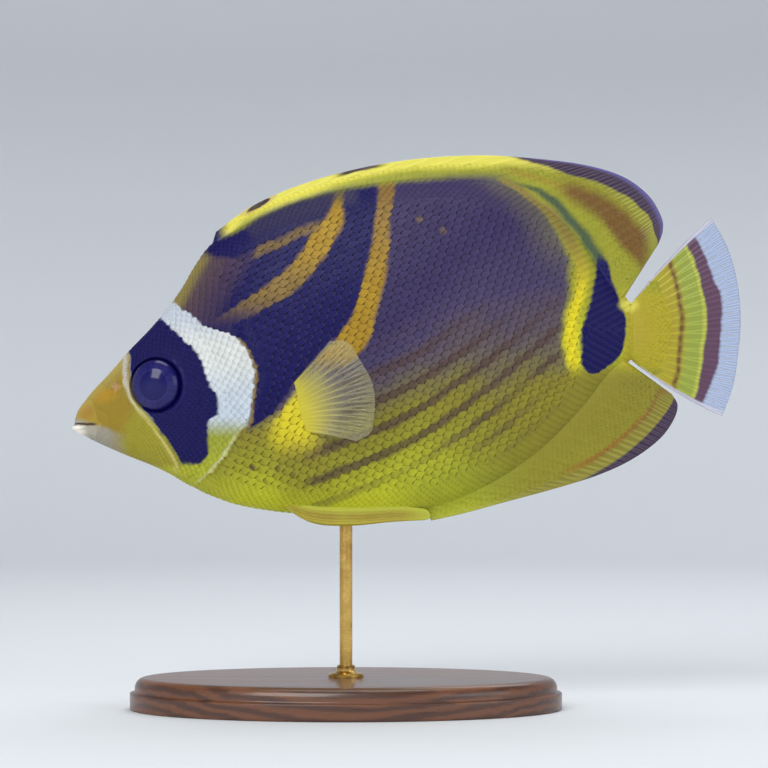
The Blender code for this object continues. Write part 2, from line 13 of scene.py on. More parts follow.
import bmesh
import bpy
import numpy as np
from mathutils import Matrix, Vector

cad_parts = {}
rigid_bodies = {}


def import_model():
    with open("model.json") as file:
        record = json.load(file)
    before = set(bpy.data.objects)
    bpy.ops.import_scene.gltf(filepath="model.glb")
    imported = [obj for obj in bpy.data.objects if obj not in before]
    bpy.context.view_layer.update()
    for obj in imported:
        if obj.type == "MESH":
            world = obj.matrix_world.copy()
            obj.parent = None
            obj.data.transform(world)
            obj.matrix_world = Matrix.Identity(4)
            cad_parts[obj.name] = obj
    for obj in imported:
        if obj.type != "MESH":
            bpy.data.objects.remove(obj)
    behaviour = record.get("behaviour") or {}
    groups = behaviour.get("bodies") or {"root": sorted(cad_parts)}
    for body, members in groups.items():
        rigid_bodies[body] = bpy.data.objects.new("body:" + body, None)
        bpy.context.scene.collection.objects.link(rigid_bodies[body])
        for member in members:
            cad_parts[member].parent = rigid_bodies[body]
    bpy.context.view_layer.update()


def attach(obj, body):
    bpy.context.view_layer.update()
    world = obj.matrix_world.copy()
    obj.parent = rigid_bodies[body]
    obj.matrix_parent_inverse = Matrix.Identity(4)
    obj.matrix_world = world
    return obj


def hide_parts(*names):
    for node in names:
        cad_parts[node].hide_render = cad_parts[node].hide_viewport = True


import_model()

# %% [markdown]
# ## The side drawing
# The fish was laid out on a side drawing whose unit is a quarter of a millimetre. `u` counts to
# the tail and `v` counts down. Sections and fin outlines are in millimetres behind the lower lip
# and above the lowest fin line. Keeping both makes it easy to place a marking on the surface.

# %% Measures
MM = 0.001
TOTAL_LENGTH = 167.2            # mm, lip to the clear rim of the tail
LOWEST_FIN = 46.0               # mm, height of the lowest fin line over the table
LIP_U, LINE_V, PER_MM = 72.0, 525.0, 4.0
BACK_OF_LIP = TOTAL_LENGTH / 2  # mm from the lip to the origin
MIRROR = np.array((1.0, -1.0, 1.0))


def from_drawing(u, v):
    """Millimetres behind the lip and above the lowest fin line for a place on the drawing."""
    return (np.asarray(u, float) - LIP_U) / PER_MM, (LINE_V - np.asarray(v, float)) / PER_MM


def to_drawing(x, z):
    return x * PER_MM + LIP_U, LINE_V - z * PER_MM


def placed(x, y, z):
    """Lip millimetres as metres in the frame."""
    return np.stack([x - BACK_OF_LIP, y, z + LOWEST_FIN], axis=-1) * MM


def along(table, t):
    """Smooth curve through the rows of a table, where t counts rows. Between two rows it is the
    cubic that has both rows' values and slopes; a row's slope is half the step between its
    neighbours."""
    table = np.asarray(table, float)
    slopes = np.gradient(table, axis=0)
    t = np.clip(t, 0, len(table) - 1)
    low = np.minimum(t.astype(int), len(table) - 2)
    f = (t - low)[..., None]
    return (table[low] * (1 + 2 * f) * (1 - f) ** 2 + slopes[low] * f * (1 - f) ** 2
            + table[low + 1] * f ** 2 * (3 - 2 * f) - slopes[low + 1] * f ** 2 * (1 - f))


def eased(value, low, high):
    """0 below low, 1 above high, and the smooth S curve 3t^2 - 2t^3 between them."""
    t = np.clip((value - low) / (high - low), 0, 1)
    return t * t * (3 - 2 * t)


def hump(value, centre, width):
    """A bell, exp(-((value - centre) / width)^2)."""
    return np.exp(-(((value - centre) / width) ** 2))


def joined(*parts):
    """Arrays or numbers, spread to one shape and put side by side as the last axis."""
    return np.stack(np.broadcast_arrays(*parts), -1)


print("origin on the drawing", to_drawing(BACK_OF_LIP, 0.0))

# %% [markdown]
# ## Camera, floor and light
# The fish is seen square from its left side, so the camera stands level with the middle of the
# picture. The floor and the wall are one pale sheet, a shallow bowl that is a flat disc curving up
# into a low wall all round, so no corner draws the eye from any side. Large soft lamps do what a
# studio does: a key above and in front, a fill from the tail side, lights on top and behind, and a
# weak low one at the nose.

# %% Camera
VIEW_WIDTH = 0.192              # metres shown at the fish's midplane
DISTANCE = 0.80
CENTRE = (-0.0056, 0.08125)     # x, z of the middle of the picture

lens = bpy.data.cameras.new("camera")
lens.sensor_width = 36.0
lens.angle = 2 * atan(VIEW_WIDTH / 2 / DISTANCE)
lens.clip_start = 0.01
camera = bpy.data.objects.new("camera", lens)
camera.location = (CENTRE[0], -DISTANCE, CENTRE[1])
camera.rotation_euler = (pi / 2, 0.0, 0.0)
bpy.context.scene.collection.objects.link(camera)
bpy.context.scene.camera = camera
bpy.context.scene.view_settings.view_transform = "Standard"
print("field of view", round(lens.angle * 180 / pi, 2))


# %% Lamps
def lamp(name, place, aim, size, power, colour):
    """A square soft lamp at a place, turned to face its aim. It stands out of shot: it lights and
    shows in reflections, but the camera doesn't see it."""
    light = bpy.data.lights.new(name, "AREA")
    light.size = size
    light.energy = power
    light.color = colour
    made = bpy.data.objects.new(name, light)
    made.location = place
    direction = Vector(aim) - made.location
    made.rotation_euler = direction.to_track_quat("-Z", "Y").to_euler()
    made.visible_camera = False
    bpy.context.scene.collection.objects.link(made)
    return made


MIDDLE = (0.0, 0.0, 0.09)
lamp("key", (-0.35, -0.85, 0.75), MIDDLE, 0.55, 6.2, (1.0, 0.98, 0.95))
lamp("fill", (0.75, -0.55, 0.25), MIDDLE, 0.6, 2.0, (0.95, 0.97, 1.0))
lamp("top", (0.05, 0.10, 0.85), MIDDLE, 0.5, 2.5, (1.0, 1.0, 1.0))
lamp("back", (0.25, 0.55, 0.85), MIDDLE, 0.5, 2.0, (0.97, 0.98, 1.0))
low = lamp("low", (-0.50, -0.62, 0.07), MIDDLE, 0.35, 0.75, (1.0, 0.99, 0.96))
low.visible_glossy = False      # so that the eye mirrors one window only
world = bpy.data.worlds.new("studio")
world.use_nodes = True
world.node_tree.nodes["Background"].inputs["Color"].default_value = (0.86, 0.89, 0.94, 1.0)
world.node_tree.nodes["Background"].inputs["Strength"].default_value = 0.24
bpy.context.scene.world = world


# %% Meshes from arrays
def mesh_piece(name, points, faces, sharp=None):
    """A mesh from an array of points in metres and a list of index arrays, each with a row of
    corners for every face."""
    mesh = bpy.data.meshes.new(name)
    points = np.asarray(points, np.float32).reshape(-1, 3)
    corners = np.concatenate([np.asarray(f, np.int32).ravel() for f in faces])
    totals = np.concatenate([np.full(len(f), np.shape(f)[1], np.int32) for f in faces])
    starts = np.concatenate([[0], np.cumsum(totals)[:-1]]).astype(np.int32)
    mesh.vertices.add(len(points))
    mesh.vertices.foreach_set("co", points.ravel())
    mesh.loops.add(len(corners))
    mesh.loops.foreach_set("vertex_index", corners)
    mesh.polygons.add(len(totals))
    mesh.polygons.foreach_set("loop_start", starts)
    mesh.update(calc_edges=True)
    shade_smooth(mesh)
    if sharp:
        mesh.set_sharp_from_angle(angle=sharp)
    made = bpy.data.objects.new(name, mesh)
    bpy.context.scene.collection.objects.link(made)
    return made


def shade_smooth(mesh):
    mesh.polygons.foreach_set("use_smooth", np.ones(len(mesh.polygons), bool))


def keep(piece, name, values):
    """Stores one vector for each point of the mesh as an attribute that the finishes read."""
    layer = piece.data.attributes.new(name, "FLOAT_VECTOR", "POINT")
    layer.data.foreach_set("vector", np.asarray(values, np.float32).ravel())


def keep_map(piece, places):
    """Stores a place on the bake map for each point of the mesh."""
    corners = np.empty(len(piece.data.loops), np.int32)
    piece.data.loops.foreach_get("vertex_index", corners)
    layer = piece.data.uv_layers.new(name="OFBake")
    layer.uv.foreach_set("vector", np.asarray(places, np.float32).reshape(-1, 2)[corners].ravel())


def grid_faces(rows, columns, wrap=False, flip=False):
    """Four corners for each cell of a grid of points. wrap joins the last column to the first."""
    columns_used = np.arange(columns if wrap else columns - 1)
    i, j = np.meshgrid(np.arange(rows - 1), columns_used, indexing="ij")
    here, after, right = i * columns, (i + 1) * columns, (j + 1) % columns
    cells = joined(here + j, here + right, after + right, after + j).reshape(-1, 4)
    return cells[:, ::-1] if flip else cells


def rim_of(ids):
    """The numbers along the border of a grid of numbers, once round."""
    return np.concatenate([ids[0, :-1], ids[:-1, -1], ids[-1, :0:-1], ids[:0:-1, 0]])


def tube(name, points, rows, columns, sharp=None):
    """A stack of rings joined by a wall, with one flat face at each end."""
    ring = np.arange(columns)[None]
    faces = [grid_faces(rows, columns, wrap=True), ring[:, ::-1], (rows - 1) * columns + ring]
    return mesh_piece(name, points, faces, sharp)


def weld(piece, gap=2e-6):
    """Merges points that fall together, as at a pole, and turns all faces outwards."""
    shape = bmesh.new()
    shape.from_mesh(piece.data)
    bmesh.ops.remove_doubles(shape, verts=shape.verts, dist=gap)
    bmesh.ops.dissolve_degenerate(shape, edges=shape.edges, dist=gap / 2)
    bmesh.ops.recalc_face_normals(shape, faces=shape.faces)
    shape.to_mesh(piece.data)
    shape.free()
    shade_smooth(piece.data)
    return piece


def triangles(piece):
    """A face of n corners makes n - 2 triangles."""
    return len(piece.data.loops) - 2 * len(piece.data.polygons)


# %% Floor and wall
ROUND_SHEET, SHEET_STEPS, SOFTENING = 96, 60, 9
SHEET = ((0, 0.02, 0.0), (0.45, 0.80, 0.0), (0.8, 1.25, 0.35), (1, 1.25, 0.9))  # run, radius, height in m
around = np.linspace(0, 2 * pi, ROUND_SHEET, endpoint=False)
run, *lines_of_sheet = zip(*SHEET)
evened = []
for line in lines_of_sheet:
    line = np.interp(np.linspace(0, 1, SHEET_STEPS), run, line)
    line = np.pad(line, SOFTENING // 2, mode="edge")
    evened.append(np.convolve(line, np.ones(SOFTENING) / SOFTENING, mode="valid")[:, None])
radius, upward = evened
sheet = [grid_faces(SHEET_STEPS, ROUND_SHEET, wrap=True, flip=True), np.arange(ROUND_SHEET)[None]]
backdrop = mesh_piece("backdrop", joined(radius * np.cos(around), radius * np.sin(around), upward), sheet)
print("backdrop", triangles(backdrop))

# %% [markdown]
# ## The body's surface
# The body is a row of upright rings from the lips to the root of the tail fin. Each ring is
# pointed at the back and belly, and bows backwards at its middle, as the edge of the gill cover
# does. Two parameters name every place on it: the station along the fish, and the turn round the
# ring, which is 0 on the back, pi on the belly and negative on the left side.
# A skin could be sculpted, but a formula lets the scales use the same surface.

# %% Sections
# back x, back z, belly x, belly z, half-width, backward bow, in mm
STATIONS = np.array([
    (0.7, 26.0, 0.7, 26.0, 0.0, 0.0), (1.5, 28.6, 0.9, 23.4, 1.5, 0.0), (3.0, 30.8, 3.5, 22.0, 2.2, 0.0),
    (6.0, 34.4, 8.5, 19.6, 3.1, 0.0), (9.6, 38.2, 14.0, 17.2, 4.3, 0.8), (14.5, 43.9, 20.0, 14.8, 5.9, 2.6),
    (19.5, 49.1, 24.5, 12.6, 7.4, 5.6), (23.8, 54.2, 27.8, 10.6, 9.0, 9.2),
    (27.5, 59.4, 29.2, 9.8, 10.6, 12.8), (31.0, 65.4, 30.6, 9.1, 12.0, 16.0),
    (34.8, 70.4, 36.0, 6.6, 12.4, 16.2), (41.5, 75.0, 43.5, 4.3, 12.7, 14.4),
    (54.5, 81.0, 57.0, 2.5, 12.7, 10.4), (72.0, 85.8, 74.5, 2.1, 12.3, 5.6),
    (89.5, 87.7, 90.5, 3.9, 11.2, 1.6), (104.5, 86.8, 104.5, 9.4, 9.6, 0.0),
    (117.0, 81.8, 117.0, 17.8, 7.6, 0.0), (127.0, 73.0, 127.0, 27.6, 5.5, 0.0),
    (134.0, 62.4, 134.0, 36.4, 4.0, 0.0), (139.8, 55.6, 139.8, 41.0, 2.8, 0.0),
])
GILL_STATION, HEAD_END = 9.0, 9.5
LAST_STATION = len(STATIONS) - 1.0
GILL_LIFT, GILL_RAMP = 0.55, 2.2
LOW_WIDTH = 0.10
COAT_FACE, COAT_FLANK = 0.12, 0.36      # mm that the skin lies inside the outline
EYE_PLACE = (21.4, 34.9)
NOSTRILS = ((10.4, 33.8, 0.50), (12.1, 35.3, 0.62))
PREOPERCLE = np.array([(190, 330), (205, 355), (217, 385), (222, 410), (216, 436), (204, 460), (188, 476),
                       (168, 470)])


def ring_parts(station):
    return np.moveaxis(along(STATIONS, station), -1, 0)


# %% Forms of the head
def line_distance(u, v, line, places=160, nearby=25, beyond=60.0):
    """Signed distance in drawing units from a smooth line through points, found among a number of
    its places. It is positive on the left hand of the line's run, and one fixed value where the
    line is nowhere near."""
    fine = along(line, np.linspace(0, len(line) - 1, places))
    spots = joined(np.ravel(u), np.ravel(v))
    out = np.full(len(spots), beyond)
    near = np.flatnonzero(((spots > fine.min(0) - nearby) & (spots < fine.max(0) + nearby)).all(1))
    gaps = spots[near, None] - fine[None]
    reach = np.linalg.norm(gaps, axis=-1)
    best = reach.argmin(1)
    run = np.gradient(fine, axis=0)[best]
    away = gaps[np.arange(len(near)), best]
    out[near] = reach.min(1) * np.sign(run[:, 0] * away[:, 1] - run[:, 1] * away[:, 0])
    return out.reshape(np.shape(u))


def eye_distance(x, z):
    """Millimetres from the middle of the eye, whose outline is a little taller than wide."""
    return np.hypot(x - EYE_PLACE[0], (z - EYE_PLACE[1]) * 0.97)


def head_form(x, z):
    """Millimetres by which the sides of the head stand out: a socket with a raised rim about the
    eye, two pits with rims for the nostrils, the crease of the mouth, the fold behind the jaw and
    the soft step of the cheek plate's edge."""
    eye = eye_distance(x, z)
    form = 0.24 * hump(eye, 7.05, 0.50) - 1.7 * eased(-eye, -6.9, -6.0)
    for nx, nz, radius in NOSTRILS:
        away = np.hypot(x - nx, z - nz)
        form += 0.16 * hump(away, radius * 1.7, 0.24) - 0.75 * hump(away, 0.0, radius * 0.9)
    mouth = 25.3 - 0.035 * np.clip(x - 2, 0, 9)
    form -= 0.55 * hump(z, mouth, 0.30) * eased(-x, -6.6, -5.4)
    jaw = np.hypot(x - 6.4, (z - 24.9) * 0.8)
    form -= 0.16 * hump(jaw, 3.1, 0.42) * eased(x, 5.5, 7.5)
    form += 0.18 * hump(jaw, 0.0, 2.2)
    plate = line_distance(*to_drawing(x, z), PREOPERCLE)
    form += 0.22 * eased(plate, -3.0, 1.0) * eased(-plate, -40.0, -4.0) - 0.16 * hump(plate, -2.0, 2.2)
    return form


# %% Body and skin
def body_at(station, turn, grow=0.0):
    """The body's surface in frame metres. Height is the cosine of the turn between belly and back;
    half-width is the section's, times the squared sine to a power just over a half; the ring
    leans with its back and belly and bows backwards by the squared sine."""
    back_x, back_z, belly_x, belly_z, width, bow = ring_parts(station)
    c = np.cos(turn)
    rise = np.sin(turn) ** 2
    tall = np.maximum((back_z - belly_z) / 2 + grow, 0.02)
    x = (back_x + belly_x) / 2 + (back_x - belly_x) / 2 * c + bow * rise
    z = (back_z + belly_z) / 2 + tall * c
    lift = GILL_LIFT * np.clip((station - GILL_STATION + GILL_RAMP) / GILL_RAMP, 0, 1) ** 2
    lift = lift * eased(-station, -GILL_STATION - 0.07, -GILL_STATION) * eased(-c, -0.62, -0.30) * rise
    full = np.interp(station, (0, 4, 12), (0.50, 0.56, 0.60))
    half = np.maximum(np.maximum(width, 0) * (1 - LOW_WIDTH * c) + lift + grow, 0.0) * rise ** full
    return placed(x, half * np.sign(np.sin(turn)), z)


def coat_depth(station):
    return np.interp(station, (0, 3, 8, 11), (0.04, COAT_FACE, 0.24, COAT_FLANK))


def body_map(station, turn):
    """A place on the bake map: stations run across it and turns up it."""
    return joined(0.02 + 0.96 * station / LAST_STATION, 0.02 + 0.96 * (turn + pi) / (2 * pi))


def skin_at(station, turn):
    """The skin: the body's surface, let in by the depth of the coat, with the head's forms moved
    straight out to the side."""
    place = body_at(station, turn, -coat_depth(station))
    x = place[..., 0] / MM + BACK_OF_LIP
    z = place[..., 2] / MM - LOWEST_FIN
    head = station < HEAD_END
    form = np.zeros(np.shape(x))
    form[head] = head_form(x[head], z[head])
    room = np.abs(place[..., 1]) / MM
    place[..., 1] += np.sign(np.sin(turn)) * np.maximum(form, -0.7 * room) * eased(room, 0.0, 1.2) * MM
    return place


# %% Skin
ROUND = 200
STRETCHES = ((0, 4, 60), (4, 7.4, 96), (7.4, 8.9, 28), (8.9, 9.2, 13))  # stations from, to, and rings
stations = np.concatenate([np.linspace(low, high, rings, endpoint=False) for low, high, rings in STRETCHES]
                          + [np.linspace(9.2, LAST_STATION, 92)])
turns = np.linspace(-pi, pi, ROUND, endpoint=False)
s_grid, t_grid = np.meshgrid(stations, turns, indexing="ij")
k = np.arange(ROUND // 2)
cap = (len(stations) - 1) * ROUND + joined(k, k + 1, (ROUND - k - 1) % ROUND, (ROUND - k) % ROUND)
skin = mesh_piece("skin", skin_at(s_grid, t_grid), [grid_faces(len(stations), ROUND, wrap=True), cap])
keep_map(skin, body_map(s_grid, t_grid))
weld(skin)
print("skin", triangles(skin), "triangles")

# %% [markdown]
# ## Lips
# A butterflyfish nips at coral with a small mouth, and its lips are two soft cushions that meet at
# the corners. Each lip is a bar carried round the front of the snout. It thins out and sinks into
# the skin at the corner, so no seam shows.

# %% Lips
MOUTH_CORNER, MOUTH_LEVEL = (6.2, 2.9), 25.2         # x and half-width, height
LIP_SIDES, LIP_STEPS = 28, 72


def lip(name, reach, level, radius, droop):
    """A bar along half an ellipse about the snout. Its cross-section is an ellipse that is wider
    than high, and its size falls to a third at the corners."""
    t = np.linspace(-pi / 2, pi / 2, LIP_STEPS)[:, None]
    a = np.linspace(0, 2 * pi, LIP_SIDES, endpoint=False)[None]
    ahead, aside = np.cos(t), np.sin(t)
    corner_x, corner_y = MOUTH_CORNER
    share = 0.30 + 0.70 * ahead ** 0.8
    out = np.cos(a) * radius * share * (1.0 + 0.05 * np.sin(9 * t))
    x = corner_x - (corner_x - reach - radius) * ahead - out * ahead
    y = corner_y * 0.78 * aside * (1 - 0.22 * aside ** 4) + out * aside
    z = level + (MOUTH_LEVEL - level) * 0.6 * aside ** 4 + droop * aside ** 2
    z = z + np.sin(a) * radius * 0.86 * share
    return weld(tube(name, placed(x, y, z), LIP_STEPS, LIP_SIDES))


lips = [lip("lip_upper", 0.75, 26.45, 0.95, 0.25), lip("lip_lower", 0.05, 24.35, 0.93, -0.05)]
print("lips", [triangles(piece) for piece in lips])

# %% [markdown]
# ## One scale, many times
# A scale is a thin plate rooted in the skin at its front and free at its rounded back edge. The
# free edge lies on the roots of the next scales, like a roof tile. Particles could scatter them,
# but real scales stand in rows, so every root is worked out first and all scales are then built
# at once from one small pattern.

# %% Scale pattern
def scale_pattern(rows, columns):
    """Places over a closed plate: a from root to tip, b from side to side, and how deep each
    place lies, 0 on top and 1 underneath. The under side is one face inside the rim."""
    a, b = np.meshgrid(np.linspace(0, 1, rows), np.linspace(-1, 1, columns), indexing="ij")
    a, b = a.ravel(), b.ravel()
    rim = rim_of(np.arange(rows * columns).reshape(rows, columns))
    low = rows * columns + np.arange(len(rim))
    deep = np.concatenate([np.zeros(len(a)), np.ones(len(rim))])
    skirt = joined(rim, low, np.roll(low, -1), np.roll(rim, -1))
    faces = grid_faces(rows, columns, flip=True), skirt, low[None]
    return np.concatenate([a, a[rim]]), np.concatenate([b, b[rim]]), deep, faces


COARSE, FINE = scale_pattern(5, 5), scale_pattern(4, 4)
WOBBLE = 0.035                  # by which a scale's direction strays
PATCH = 0.0028                  # share of the bake map that a scale is wide


# %% Laying the scales
def surface_frame(carrier, p, q, step=0.004):
    """Place, normal to the fish's left and the two slopes of a surface at parameters p, q, from
    small steps to both sides."""
    across_p = (carrier(p + step, q) - carrier(p - step, q)) / (2 * step)
    across_q = (carrier(p, q + step) - carrier(p, q - step)) / (2 * step)
    normal = np.cross(across_p, across_q)
    normal /= np.maximum(np.linalg.norm(normal, axis=-1, keepdims=True), 1e-12)
    normal *= np.where(normal[:, 1:2] > 0, -1.0, 1.0)
    return carrier(p, q), normal, across_p, across_q


def lay_scales(name, carrier, p, q, lie, length, half_width, lift, pattern, place_on_map, seed):
    """Builds one plate for each root p, q on both sides of the fish. A plate's places are steps
    along its lie and to its sides; each step is turned into a change of the two parameters with
    the surface's slopes, so the plate follows the surface, and its tip rises by the lift. Lengths
    are in mm."""
    rng = np.random.default_rng(seed)
    a, b, deep, pattern_faces = pattern
    count, size = len(p), len(a)
    place, normal, slope_p, slope_q = surface_frame(carrier, p, q)
    forward = lie - (lie * normal).sum(-1, keepdims=True) * normal
    forward += rng.normal(0, WOBBLE, forward.shape)
    forward /= np.linalg.norm(forward, axis=-1, keepdims=True)
    aside = np.cross(normal, forward)
    length, lift = (length * rng.uniform(0.95, 1.06, count))[:, None], lift[:, None]
    reach = a * (1 - 0.40 * b ** 2 * a ** 1.5) - 0.12
    wide = b * (0.62 + 0.38 * np.sin(pi * np.clip(a * 0.92 + 0.08, 0, 1)) ** 0.7)
    step = (forward[:, None] * (reach * length)[..., None]
            + aside[:, None] * (wide * half_width[:, None])[..., None]) * MM
    pp, qq, pq = ((one * two).sum(-1)[:, None] for one, two in
                  ((slope_p, slope_p), (slope_q, slope_q), (slope_p, slope_q)))
    on_p, on_q = ((step * slope[:, None]).sum(-1) for slope in (slope_p, slope_q))
    area = np.maximum(pp * qq - pq ** 2, 1e-14)
    base = carrier(p[:, None] + (qq * on_p - pq * on_q) / area, q[:, None] + (pp * on_q - pq * on_p) / area)
    height = lift * (a * 1.10 - 0.22 - 0.22 * b ** 2 - 0.10 * a ** 2) - deep * (0.05 + 0.22 * lift)
    points = base + normal[:, None] * height[..., None] * MM
    first = np.arange(count)[:, None, None] * size
    faces = [(first + f[None]).reshape(-1, f.shape[1]) for f in pattern_faces]
    root = np.broadcast_to((place + forward * (0.45 * length) * MM)[:, None], (count, size, 3))
    own = joined(a[None], b[None], rng.uniform(0, 1, (count, 1)))
    patch = place_on_map(p, q)[:, None] + joined(a - 0.5, b / 2)[None] * PATCH
    left = mesh_piece(f"{name}_left", points, faces, sharp=0.9)
    right = mesh_piece(f"{name}_right", points * MIRROR, [f[:, ::-1] for f in faces], sharp=0.9)
    for piece, mirror, on_map in ((left, 1.0, patch), (right, MIRROR, patch * (1.0, -1.0) + (0.0, 1.0))):
        keep(piece, "root", root * mirror)
        keep(piece, "plate", own)
        keep_map(piece, on_map)
    print(name, count, "scales a side,", triangles(left), "triangles a side")
    return [left, right]


# %% Places on the drawing
def locate(u, v):
    """Station and turn on the left side of what the drawing shows at u, v. The ring that passes
    through it is found by halving the range of stations thirty times."""
    x, z = from_drawing(u, v)
    low, high = np.zeros(len(x)), np.full(len(x), LAST_STATION)
    for _ in range(30):
        middle = (low + high) / 2
        back_x, back_z, belly_x, belly_z, _, bow = ring_parts(middle)
        c = np.clip((z - (back_z + belly_z) / 2) / np.maximum((back_z - belly_z) / 2, 1e-6), -1, 1)
        here = (back_x + belly_x) / 2 + (back_x - belly_x) / 2 * c + bow * (1 - c ** 2)
        low, high = np.where(here < x, middle, low), np.where(here < x, high, middle)
    return middle, -np.arccos(c)


# %% [markdown]
# ## Rows of scales
# The flank has large scales in rows that climb to the tail, like the dark lines drawn on them.
# Along the back, the belly and the tail stem they are smaller and follow the outline. On the
# head they start tiny at the snout and grow evenly with the distance from it, as on a sunflower
# head seen from its middle.

# %% Edge rows
EDGE_STEP, EDGE_ROW, FIRST_ROW = 1.62, 0.94, 0.55       # mm along a row, between rows, and to the first
COUNTED_ROW, MOST_ROWS = 5, 40  # the row whose length gives the number of marks
fine_s = np.linspace(2.2, 18.95, 420)
fine_t = np.linspace(0.0, pi, 260)
net = body_at(*np.meshgrid(fine_s, -fine_t, indexing="ij")) / MM
girth = np.cumsum(np.linalg.norm(np.diff(net, axis=1), axis=-1), axis=1)
girth = np.concatenate([np.zeros((len(fine_s), 1)), girth], 1)


def edge_shrink(station):
    """Share of the full row width and scale length, which falls towards the snout."""
    return np.interp(station, (2, 6, 9, 11), (0.52, 0.62, 0.9, 1.0))


def edge_rows(from_back):
    """Roots along rows that keep their distance from the back or belly ridge. All rows are marked
    off at the same stations, each second one half a mark further on, so the scales interlock. With
    each root come the distances to its neighbours along and across the row, the row's number and
    the row's direction."""
    shrink = edge_shrink(fine_s)
    arc = girth if from_back else girth[:, -1:] - girth
    order = slice(None, None, 1 if from_back else -1)
    found, run = [], None
    for k in (COUNTED_ROW, *range(MOST_ROWS)):
        depth = (FIRST_ROW + EDGE_ROW * k) * shrink
        turn = np.array([np.interp(w, row[order], fine_t[order]) for w, row in zip(depth, arc)])
        path = body_at(fine_s, -turn) / MM
        if run is None:
            stretch = np.linalg.norm(np.diff(path, axis=0), axis=-1) / (shrink[1:] * EDGE_STEP)
            run = np.concatenate([[0], np.cumsum(stretch)])
            continue
        way, ring = np.gradient(path, axis=0), body_at(fine_s, -turn - 0.01) / MM - path
        speed = np.linalg.norm(way, axis=-1)
        way /= speed[:, None]
        ring /= np.linalg.norm(ring, axis=-1, keepdims=True)
        apart = EDGE_ROW * shrink * np.linalg.norm(np.cross(way, ring), axis=-1)
        marks = np.arange(0.5 * (k % 2), run[-1], 1.0)
        known = (fine_s, -turn, speed / np.gradient(run), apart, np.full(len(fine_s), float(k)), *way.T)
        found.append(joined(*(np.interp(marks, run, column) for column in known)))
    return np.concatenate(found)


def edge_limit(station, from_back):
    """Number of rows along the ridge before the larger scales begin."""
    rows = (3, 4.5, 6, 8.5, 9.8, 14, 40) if from_back else (3, 4, 6, 9.8, 9.8, 14, 40)
    return np.interp(station, (2, 4, 8, 9.5, 15.6, 16.9, 17.2), rows)


def nearest(values, wanted):
    return np.clip(np.searchsorted(values, wanted), 0, len(values) - 1)


def ridge_rows(station, turn, from_back):
    """How many edge rows a place lies from the ridge."""
    i, j = nearest(fine_s, station), nearest(fine_t, -turn)
    arc = girth[i, j] if from_back else girth[i, -1] - girth[i, j]
    return arc / (edge_shrink(station) * EDGE_ROW)


def within_edges(station, turn, margin):
    """True for places past the edge rows of back and belly, with a margin in rows."""
    return np.all([ridge_rows(station, turn, side) > edge_limit(station, side) - margin
                   for side in (True, False)], axis=0)


edge = []
for from_back, overlap in ((True, 0.3), (False, -0.3)):
    roots = edge_rows(from_back)
    roots = roots[roots[:, 4] < edge_limit(roots[:, 0], from_back)]
    half_way = 0.5 * girth[nearest(fine_s, roots[:, 0]), -1]
    edge.append(roots[ridge_rows(roots[:, 0], roots[:, 1], from_back) * EDGE_ROW < half_way + overlap])
edge = np.concatenate(edge)
s, t, stride, apart = edge[:, :4].T
edge_scales = lay_scales("edge_scales", skin_at, s, t, edge[:, 5:8], 1.36 * stride, 1.04 * apart,
                         0.235 * apart, FINE, body_map, seed=3)

# %% Flank rows
FLANK_STEP, FLANK_ROW, FLANK_TILT = 10.6, 6.1, radians(25)
FLANK_CENTRE = (400, 350)
GILL_EDGE, FLANK_END = 8.93, 18.6       # stations
ROW_LEAN = ((150, 0.18), (230, 0.25), (300, 0.40), (350, 0.36), (400, 0.42), (440, 0.60), (500, 0.80),
            (560, 0.66), (600, 0.30), (640, 0.12))
i, k = np.meshgrid(np.arange(-60, 60), np.arange(-90, 90), indexing="ij")
on, over = (i + 0.5 * (k % 2)) * FLANK_STEP, k * FLANK_ROW
u = FLANK_CENTRE[0] + on * np.cos(FLANK_TILT) + over * np.sin(FLANK_TILT)
v = FLANK_CENTRE[1] - on * np.sin(FLANK_TILT) + over * np.cos(FLANK_TILT)
inside = (u > 150) & (u < 640) & (v > 160) & (v < 530)
u, v = u[inside], v[inside]
s, t = locate(u, v)
flank = (s > GILL_EDGE) & (s < FLANK_END) & within_edges(s, t, 0.35)
u, s, t = u[flank], s[flank], t[flank]
lie = joined(1.0, 0.0, np.interp(u, *zip(*ROW_LEAN)))
size = np.interp(s, (8.9, 10.5, 15.5, 17.2), (0.92, 1.0, 0.97, 0.85))
flank_scales = lay_scales("flank_scales", skin_at, s, t, lie, 3.6 * size, 1.60 * size, 0.31 * size,
                          COARSE, body_map, seed=5)

# %% Head rows
HEAD_FOCUS, HEAD_SPREAD, HEAD_START = (52.0, 424.0), 0.046, 46.0
ROW_GROWTH = 0.47               # of the spread
EYE_CLEAR, NOSTRIL_CLEAR = 6.95, 1.7    # mm, and times the nostril's radius
j, k = np.meshgrid(np.arange(-40, 50), np.arange(0, 100), indexing="ij")
away = HEAD_START * np.exp(k * HEAD_SPREAD * ROW_GROWTH)
angle = (j + 0.5 * (k % 2)) * HEAD_SPREAD
u, v = (HEAD_FOCUS[0] + away * np.cos(angle)).ravel(), (HEAD_FOCUS[1] - away * np.sin(angle)).ravel()
s, t = locate(u, v)
x, z = from_drawing(u, v)
lie = joined(u - HEAD_FOCUS[0], 0.0, HEAD_FOCUS[1] - v)
reach = lie * HEAD_SPREAD / PER_MM
eye = np.min([eye_distance(x + part * reach[:, 0], z + part * reach[:, 2])
              for part in (0.0, 0.5, 1.0)], axis=0)
clear = (x > 4.6) & ~((np.abs(z - 25.0) < 0.7) & (x < 7.4)) & (eye > EYE_CLEAR)
for nx, nz, radius in NOSTRILS:
    clear &= np.hypot(x - nx, z - nz) > radius * NOSTRIL_CLEAR
head = (s > 2.3) & (s < GILL_EDGE) & (np.abs(np.cos(t)) < 0.999) & clear & within_edges(s, t, 0.5)
lie = lie[head]
